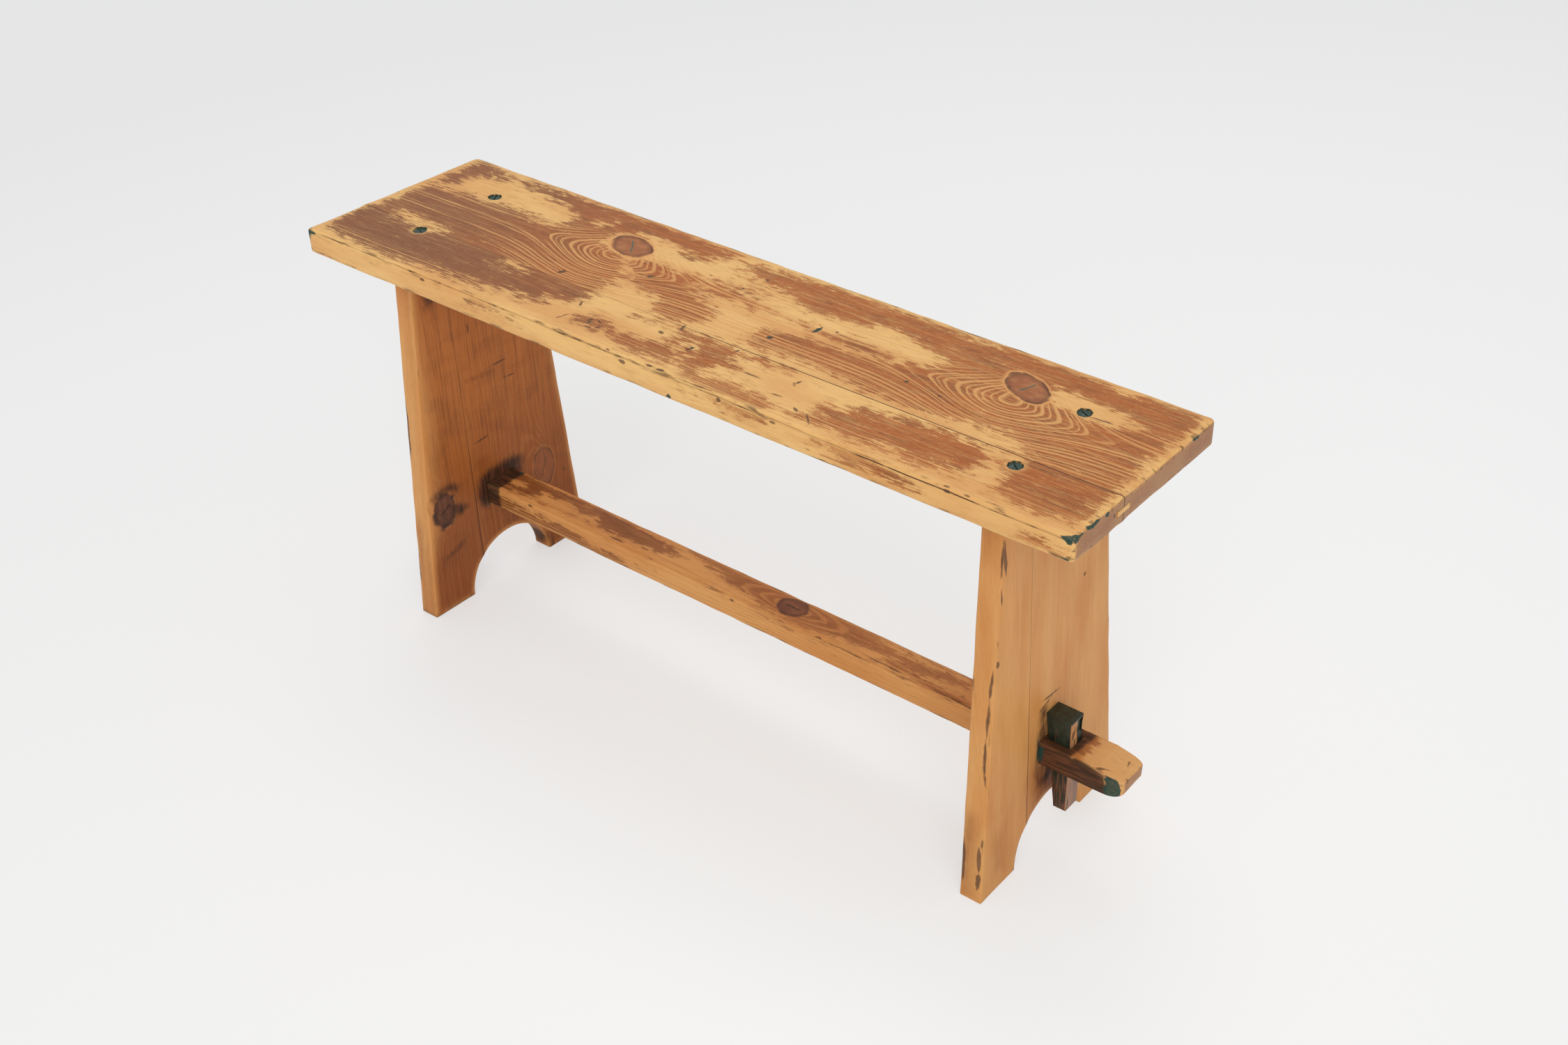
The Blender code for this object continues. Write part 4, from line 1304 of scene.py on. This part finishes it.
def pine(name, grain, **given):
    """Old pine for one board."""
    facts = BOARD_FACTS | {key.replace("_", " "): value for key, value in given.items()}
    material, tree, surface = new_material(name)
    places = board_places(tree, grain, facts["lean"])
    out, close = ring_distance(tree, places, facts["heart"], facts["wander"], facts["knots"])
    clearer = places[0].ramp(*facts["clearer"])
    line = ring_lines(tree, places, out, close, facts["period"], clearer) * facts["lines"]
    line = line * places[1].ramp(*facts["zone"])
    fibre = spots(tree, places, "fibres", facts["seed"])
    colour = bare_wood(tree, places, facts, line, fibre)
    distances = [knot_distance(tree, places, knot) for knot in facts["knots"]]
    clear = spots(tree, places, "clear flecks").ramp(0.7, 0.8).rest()
    for knot, distance in zip(facts["knots"], distances):
        clear = clear * (distance.ramp(1.0, 1.16).rest() * knot["halo"]).rest()
    stained, patchy = stain_layer(tree, places, facts["ragged"], line, fibre, clear)
    colour = over(tree, colour, stain_colour(tree, places, facts), stained * facts["coat"])
    low, high = facts["ends"]
    thin, deep = END_SKIN
    end = places[0].ramp(low + thin, low + deep).rest() + places[0].ramp(high - deep, high - thin)
    colour = over(tree, colour, END_BROWN, end * (patchy * -0.3 + 0.98))
    for knot, distance in zip(facts["knots"], distances):
        colour = knot_layer(tree, places, colour, knot, distance)
    dirt = arris_dirt(tree, places, facts, patchy)
    # Grime from its stencils, made patchy. At the bottom and in the arch of the left leg's feet this layer
    # is painted shade as well as grime.
    grime_and_shade = mark(tree, "grime") + (patchy - 0.5) * 0.5
    colour = over(tree, colour, DIRT_BROWN, dirt)
    grime = grime_and_shade.ramp(0.25, 0.95) * 0.92
    sooty = spots(tree, places, "soot").ramp(0.4, 0.62)
    colour = over(tree, colour, over(tree, GRIME_AND_SHADE_BROWN, GRIME_AND_SHADE_RED, sooty), grime)
    if facts["seam"] is not None:
        crack = (places[1] - facts["seam"]).math("ABSOLUTE").ramp(*SEAM_WIDTH).rest()
        crack = crack * (patchy * 0.4 + 0.75) * (places[0].ramp(*facts["opens"]) * 0.7 + 0.25)
        colour = over(tree, colour, CUT_BROWN, crack * facts["open"])
    cut = (mark(tree, "nicks") + (patchy - 0.5) * 0.6).ramp(0.32, 0.62)
    colour = over(tree, colour, CUT_BROWN, cut * (fibre * 0.6 + 0.5))
    paint = (mark(tree, "paint") + (patchy - 0.5) * 1.3).ramp(0.45, 0.62)
    paint = paint.math("MAXIMUM", screw_hole_paint(tree, places, facts["holes"]))
    colour = over(tree, colour, PAINT_GREEN, paint * (fibre * 0.5 + 0.7))
    plug(tree, colour, surface.inputs["Base Color"])
    roughness = fibre * 0.2 + line * -0.06 + grime * 0.12 + WOOD_ROUGHNESS
    plug(tree, roughness, surface.inputs["Roughness"])
    surface.inputs["Specular IOR Level"].default_value = WOOD_SHINE
    height = line * 0.05 + fibre * 0.08 + stained * -0.02 + paint * 0.05 + cut * -0.07
    set_relief(tree, surface, height)
    return material


# %% [markdown]
# ## A heart and knots for each board
# The rear seat board was cut just above the heart of its tree, so its rings run wide and flat, with two
# big knots. The front one was cut far from the heart and shows fine, straight lines. The places of the
# knots and of the heart are what makes each board itself.

# %% The knots
DENT_GREEN = shade(54, 92, 78)
BLUE_BLACK = shade(44, 34, 32)
SEAT_KNOT = {"colour": KNOT_RED, "light": KNOT_LIGHT, "reach": (72, 110), "swell": 40, "dark": 0.95,
             "rim": 0.05, "halo": 0.7, "crack colour": DENT_GREEN}
LEG_KNOT = {"turn": 0, "reach": (46, 24), "swell": 14, "halo": 0.1}
SEAT_KNOTS = (
    SEAT_KNOT | {"at": (-179, 58.5), "size": (29, 19), "turn": -20, "crack": -52},
    SEAT_KNOT | {"at": (313, 63), "size": (31, 17.5), "turn": -32, "crack": 70},
)
LEFT_KNOTS = (
    LEG_KNOT | {"at": (134, -87), "size": (23, 16), "crack": 60, "dark": 0.95, "rim": 0.3,
                "rim colour": BLUE_BLACK, "colour": shade(84, 50, 36), "light": shade(120, 74, 52)},
)
LEFT_REAR_KNOTS = (
    LEG_KNOT | {"at": (117, 67), "size": (27, 17), "crack": 20, "dark": 0.55, "rim": 0.03,
                "colour": shade(128, 66, 42), "light": shade(158, 92, 56)},
)
RAIL_KNOTS = (
    LEG_KNOT | {"at": (72, 5), "size": (19, 15), "reach": (60, 22), "swell": 7, "crack": 0, "dark": 0.9,
                "rim": 0.15, "colour": shade(104, 58, 40), "light": shade(140, 84, 54)},
)
print(len(SEAT_KNOTS) + len(LEFT_KNOTS) + len(LEFT_REAR_KNOTS) + len(RAIL_KNOTS), "knots")

# %% Each board's own wood
seat_ends = (seat_low.x / MM, seat_high.x / MM)
seat_look = {"grain": "x", "ends": seat_ends, "seam": seat_seam / MM}
seat_heart = (27, seat_high.z / MM - 12)
front_holes, rear_holes = [
    [((low.x + high.x) / 2 / MM, (low.y + high.y) / 2 / MM) for low, high in map(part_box, SCREW_NODES)
     if (low.y < seat_seam) == in_front]
    for in_front in (True, False)
]
yellow_pine = {"pale": LEG_PALE, "warm": LEG_WARM, "light": LEG_LIGHT, "late": LEG_LATE}
leg_look = yellow_pine | {
    "grain": "z", "seam": leg_seam / MM, "open": 0.8, "opens": (260, 120), "lines": 0.14, "on bare": 0.9,
    "coat": 0.95, "ragged": 0.14, "clouds": "leg clouds", "thick share": 0.4, "stain span": (60, 330),
    "deep": LEG_DEEP, "dirty": 0.12, "left over": 0.2,
}
woods = {
    "seat_front_board": pine(
        "pine_front", heart=(300, 420), period=3.0, lines=0.8, seed=2.0, holes=front_holes,
        zone=(-82, -104), rim=(seat_high.z / MM - 2.2, 0.0042),
        stain=(shade(124, 70, 43), shade(168, 86, 31)), **seat_look,
    ),
    "seat_rear_board": pine(
        "pine_rear", heart=seat_heart, period=5.2, lines=1.0, knots=SEAT_KNOTS, seed=5.0, holes=rear_holes,
        zone=(74, 50), clearer=(-330, -230),
        stain_span=(-420, -120), stain=(shade(136, 77, 46), shade(168, 88, 35)), **seat_look,
    ),
    "left_leg_front_board": pine(
        "pine_left_front", knots=LEFT_KNOTS, heart=(-140, -330), seed=3.0, **leg_look,
    ),
    "left_leg_rear_board": pine(
        "pine_left_rear", knots=LEFT_REAR_KNOTS, heart=(40, -330), seed=6.0, **leg_look,
    ),
    "right_leg_front_board": pine(
        "pine_right_front", heart=(-240, 330), lean=right_lean, seed=8.0, **leg_look,
    ),
    "right_leg_rear_board": pine(
        "pine_right_rear", heart=(46, 372), lean=right_lean, seed=9.0, **leg_look,
    ),
    "stretcher": pine(
        "pine_stretcher", "x", heart=(5, 100), period=3.0, knots=RAIL_KNOTS, lines=0.7, seed=4.0,
        ends=(rail_low.x / MM, rail_high.x / MM), fresh=(444, 450),
        stain=(shade(122, 68, 34), shade(158, 94, 48)), **yellow_pine,
    ),
}
tongue_wood = pine("pine_tongue", "x", heart=(200, 300), lines=0.5, seed=1.0)
print(len(woods) + 1, "boards with their own wood")

# %% [markdown]
# ## Old paint
# The wedges and the screws were painted green with everything else, and nobody bothered to clean them.
# The paint on the wedges has gone nearly black with age and is rubbed through to brown wood, and on the
# screws it has chipped down to bright metal.

# %% Painted wedges and screws
WEDGE_BLACK = shade(28, 33, 24)
WEDGE_GREEN = shade(36, 50, 36)
RUBBED_WOOD = shade(112, 66, 42)
STRIP_WOOD = shade(190, 134, 86)
GREY_WOOD = shade(150, 112, 92)
BARE_STEEL = shade(150, 158, 150)
SCREW_GREEN = shade(34, 62, 54)
LOW_DOWN = (84, 112)
HIGH_UP = (150, 164)
HANDLED_SHARE = 0.12
STRIP_BELOW = (164, 167)
STRIP_EDGE = (-0.6, 0.6)
OUTER_SKIN = (0.7, 2.4)
CHIP_SCALE = 330.0
CHIP_EDGE = (0.66, 0.72)


def wedge_paint(name, outer_face):
    """Dark green paint over wood, rubbed through in streaks low down and on the wedge's outer face."""
    material, tree, surface = new_material(name)
    places = board_places(tree, "z", 0)
    streak = spots(tree, places, "streaks in paint")
    patchy = spots(tree, places, "patches in paint")
    colour = over(tree, WEDGE_BLACK, WEDGE_GREEN, patchy.ramp(0.35, 0.65))
    low_down = places[0].ramp(*LOW_DOWN).rest()
    handled = (low_down - places[0].ramp(*HIGH_UP)) * HANDLED_SHARE
    worn_off = (streak + handled).ramp(0.56, 0.7)
    colour = over(tree, colour, RUBBED_WOOD, worn_off)
    outer = (places[2] - outer_face).math("ABSOLUTE").ramp(*OUTER_SKIN).rest()
    front = (places[1] + (patchy - 0.5) * 4).ramp(*STRIP_EDGE).rest()
    strip = outer * front * places[0].ramp(*STRIP_BELOW).rest()
    colour = over(tree, colour, STRIP_WOOD, strip * streak.ramp(0.3, 0.5))
    colour = over(tree, colour, GREY_WOOD, outer * low_down * streak.ramp(0.3, 0.5) * 0.85)
    plug(tree, colour, surface.inputs["Base Color"])
    plug(tree, worn_off * 0.15 + patchy * 0.2 + 0.32, surface.inputs["Roughness"])
    set_relief(tree, surface, streak * 0.1 + worn_off * -0.08)
    return material


def screw_paint(name):
    """Green paint on steel, chipped in small spots."""
    material, tree, surface = new_material(name)
    place = add(tree, "ShaderNodeTexCoord").outputs["Object"]
    noise = add(tree, "ShaderNodeTexNoise", {"Vector": place, "Scale": CHIP_SCALE})
    chips = Flow(tree, noise.outputs[0])
    bare = chips.ramp(*CHIP_EDGE)
    plug(tree, over(tree, SCREW_GREEN, BARE_STEEL, bare), surface.inputs["Base Color"])
    plug(tree, bare * 0.9, surface.inputs["Metallic"])
    plug(tree, chips * 0.4 + 0.2, surface.inputs["Roughness"])
    set_relief(tree, surface, chips, 0.6)
    return material


woods["left_wedge"] = wedge_paint("paint_left_wedge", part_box("left_wedge")[0].x / MM)
woods["right_wedge"] = wedge_paint("paint_right_wedge", wedge_face / MM)
print("the right wedge's outer face is at x =", round(wedge_face / MM, 1), "mm")

# %% [markdown]
# ## Joining everything to the frame
# Each worn piece rides with the same body as its solid and stands for it. The loose tongues stay as they
# came from the workshop, since only their ends can be seen, and take the wood through their slots.

# %% Rides, slots and materials


def place_piece(piece, material, body, nodes):
    """Gives a piece its material, its body and the solids that it stands for."""
    piece.data.materials.clear()
    piece.data.materials.append(material)
    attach(piece, body)
    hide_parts(*nodes)


for node, piece in worn.items():
    body = node if node.endswith("wedge") else "root"
    place_piece(piece, woods[node], body, [node])
place_piece(screws, screw_paint("paint_screws"), "root", SCREW_NODES)
for node in ("seat_tongue", "left_leg_tongue", "right_leg_tongue"):
    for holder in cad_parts[node].material_slots:
        holder.material = tongue_wood
print(len(worn) + 1, "pieces stand for", len(worn) + len(SCREW_NODES), "solids")

# %% [markdown]
# ## Floor and light
# A wide sheet of white paper fills the picture and takes the soft shadow. A painted pool of light makes it
# brightest under the bench, and it falls off a little with the distance. The light is what a large white
# room gives: even from all sides, with a low, broad lamp in front on the right and a high one behind on
# the left. Its level is set so that a colour on the seat's top comes out as it is written. The camera sees
# the floor and the walls brighter than they light the bench, which keeps the picture white and the
# shadows soft.

# %% Values of the floor and the light
FLOOR_HALF = 20.0
SKY_STRENGTH = 0.57
PAPER_WHITE = shade(236, 236, 236)
# The paper's colour in the middle of a painted pool of light and at its far edge.
PAPER_IN_PAINTED_LIGHT = shade(255, 255, 254)
PAPER_PAST_PAINTED_LIGHT = shade(225, 225, 226)
WALL = shade(226, 226, 227)
LAMPS = {
    "low lamp in front": {"strength": 1.25, "towards": (-0.45, 0.65, -0.61), "spread": 50},
    "high lamp behind": {"strength": 0.6, "towards": (0.25, -0.3, -0.92), "spread": 30},
}
PAPER_GLOW_SHARE = 0.56
# Where a painted pool of light on the paper is brightest, how far it reaches, and how much further it
# reaches front to back than sideways.
PAINTED_LIGHT_SPOT = (0.45, -0.25)
PAINTED_LIGHT_REACH = 2.7
PAINTED_LIGHT_DEPTH_SHARE = 0.8


def laid_over(tree, under, above, share):
    """One shader laid over another, where the share is 1."""
    node = add(tree, "ShaderNodeMixShader", {0: share, 1: under.outputs[0], 2: above.outputs[0]})
    return node.outputs[0]


def seen_straight(tree):
    """1 where the camera looks straight at a place, and 0 where light only comes by way of it."""
    return Flow(tree, add(tree, "ShaderNodeLightPath").outputs["Is Camera Ray"])


# %% The white floor
corners = [(a * FLOOR_HALF, b * FLOOR_HALF, 0) for a, b in ((-1, -1), (1, -1), (1, 1), (-1, 1))]
floor_mesh = bpy.data.meshes.new("floor")
floor_mesh.from_pydata(corners, [], [(0, 1, 2, 3)])
floor = linked("floor", floor_mesh)
paper, tree, surface = new_material("white_paper_with_painted_light")
spot = add(tree, "ShaderNodeTexCoord").outputs["Object"]
parts = add(tree, "ShaderNodeSeparateXYZ", {0: spot}).outputs
x = Flow(tree, parts[0]) - PAINTED_LIGHT_SPOT[0]
y = (Flow(tree, parts[1]) - PAINTED_LIGHT_SPOT[1]) * PAINTED_LIGHT_DEPTH_SHARE
distance = (x * x + y * y) ** 0.5
# A painted pool of light: the paper's colour is brightest at one spot by the bench and darker with the
# distance from it.
painted_light_tone = over(tree, PAPER_IN_PAINTED_LIGHT, PAPER_PAST_PAINTED_LIGHT, distance.ramp(0, PAINTED_LIGHT_REACH, "LINEAR"))
surface.inputs["Base Color"].default_value = PAPER_WHITE
surface.inputs["Roughness"].default_value = 0.9
surface.inputs["Specular IOR Level"].default_value = 0.1
glow = add(tree, "ShaderNodeEmission", {"Color": painted_light_tone, "Strength": 1.0})
glowing = laid_over(tree, surface, glow, seen_straight(tree) * PAPER_GLOW_SHARE)
tree.links.new(glowing, tree.nodes["Material Output"].inputs["Surface"])
floor.data.materials.append(paper)
print("the floor is", 2 * FLOOR_HALF, "m wide")

# %% The white room and its lamps
world = bpy.data.worlds.new("white room")
world.use_nodes = True
tree = world.node_tree
room = tree.nodes["Background"]
room.inputs["Color"].default_value = (1, 1, 1, 1)
room.inputs["Strength"].default_value = SKY_STRENGTH
wall = add(tree, "ShaderNodeBackground", {"Color": WALL, "Strength": 1.0})
split = laid_over(tree, room, wall, seen_straight(tree))
tree.links.new(split, tree.nodes["World Output"].inputs["Surface"])
bpy.context.scene.world = world

for name, facts in LAMPS.items():
    lamp = bpy.data.lights.new(name, "SUN")
    lamp.energy = facts["strength"]
    lamp.angle = radians(facts["spread"])
    sun = bpy.data.objects.new(name, lamp)
    sun.rotation_euler = Vector(facts["towards"]).to_track_quat("-Z", "Y").to_euler()
    bpy.context.scene.collection.objects.link(sun)
bpy.context.scene.view_settings.view_transform = "Standard"
print(len(LAMPS), "lamps")
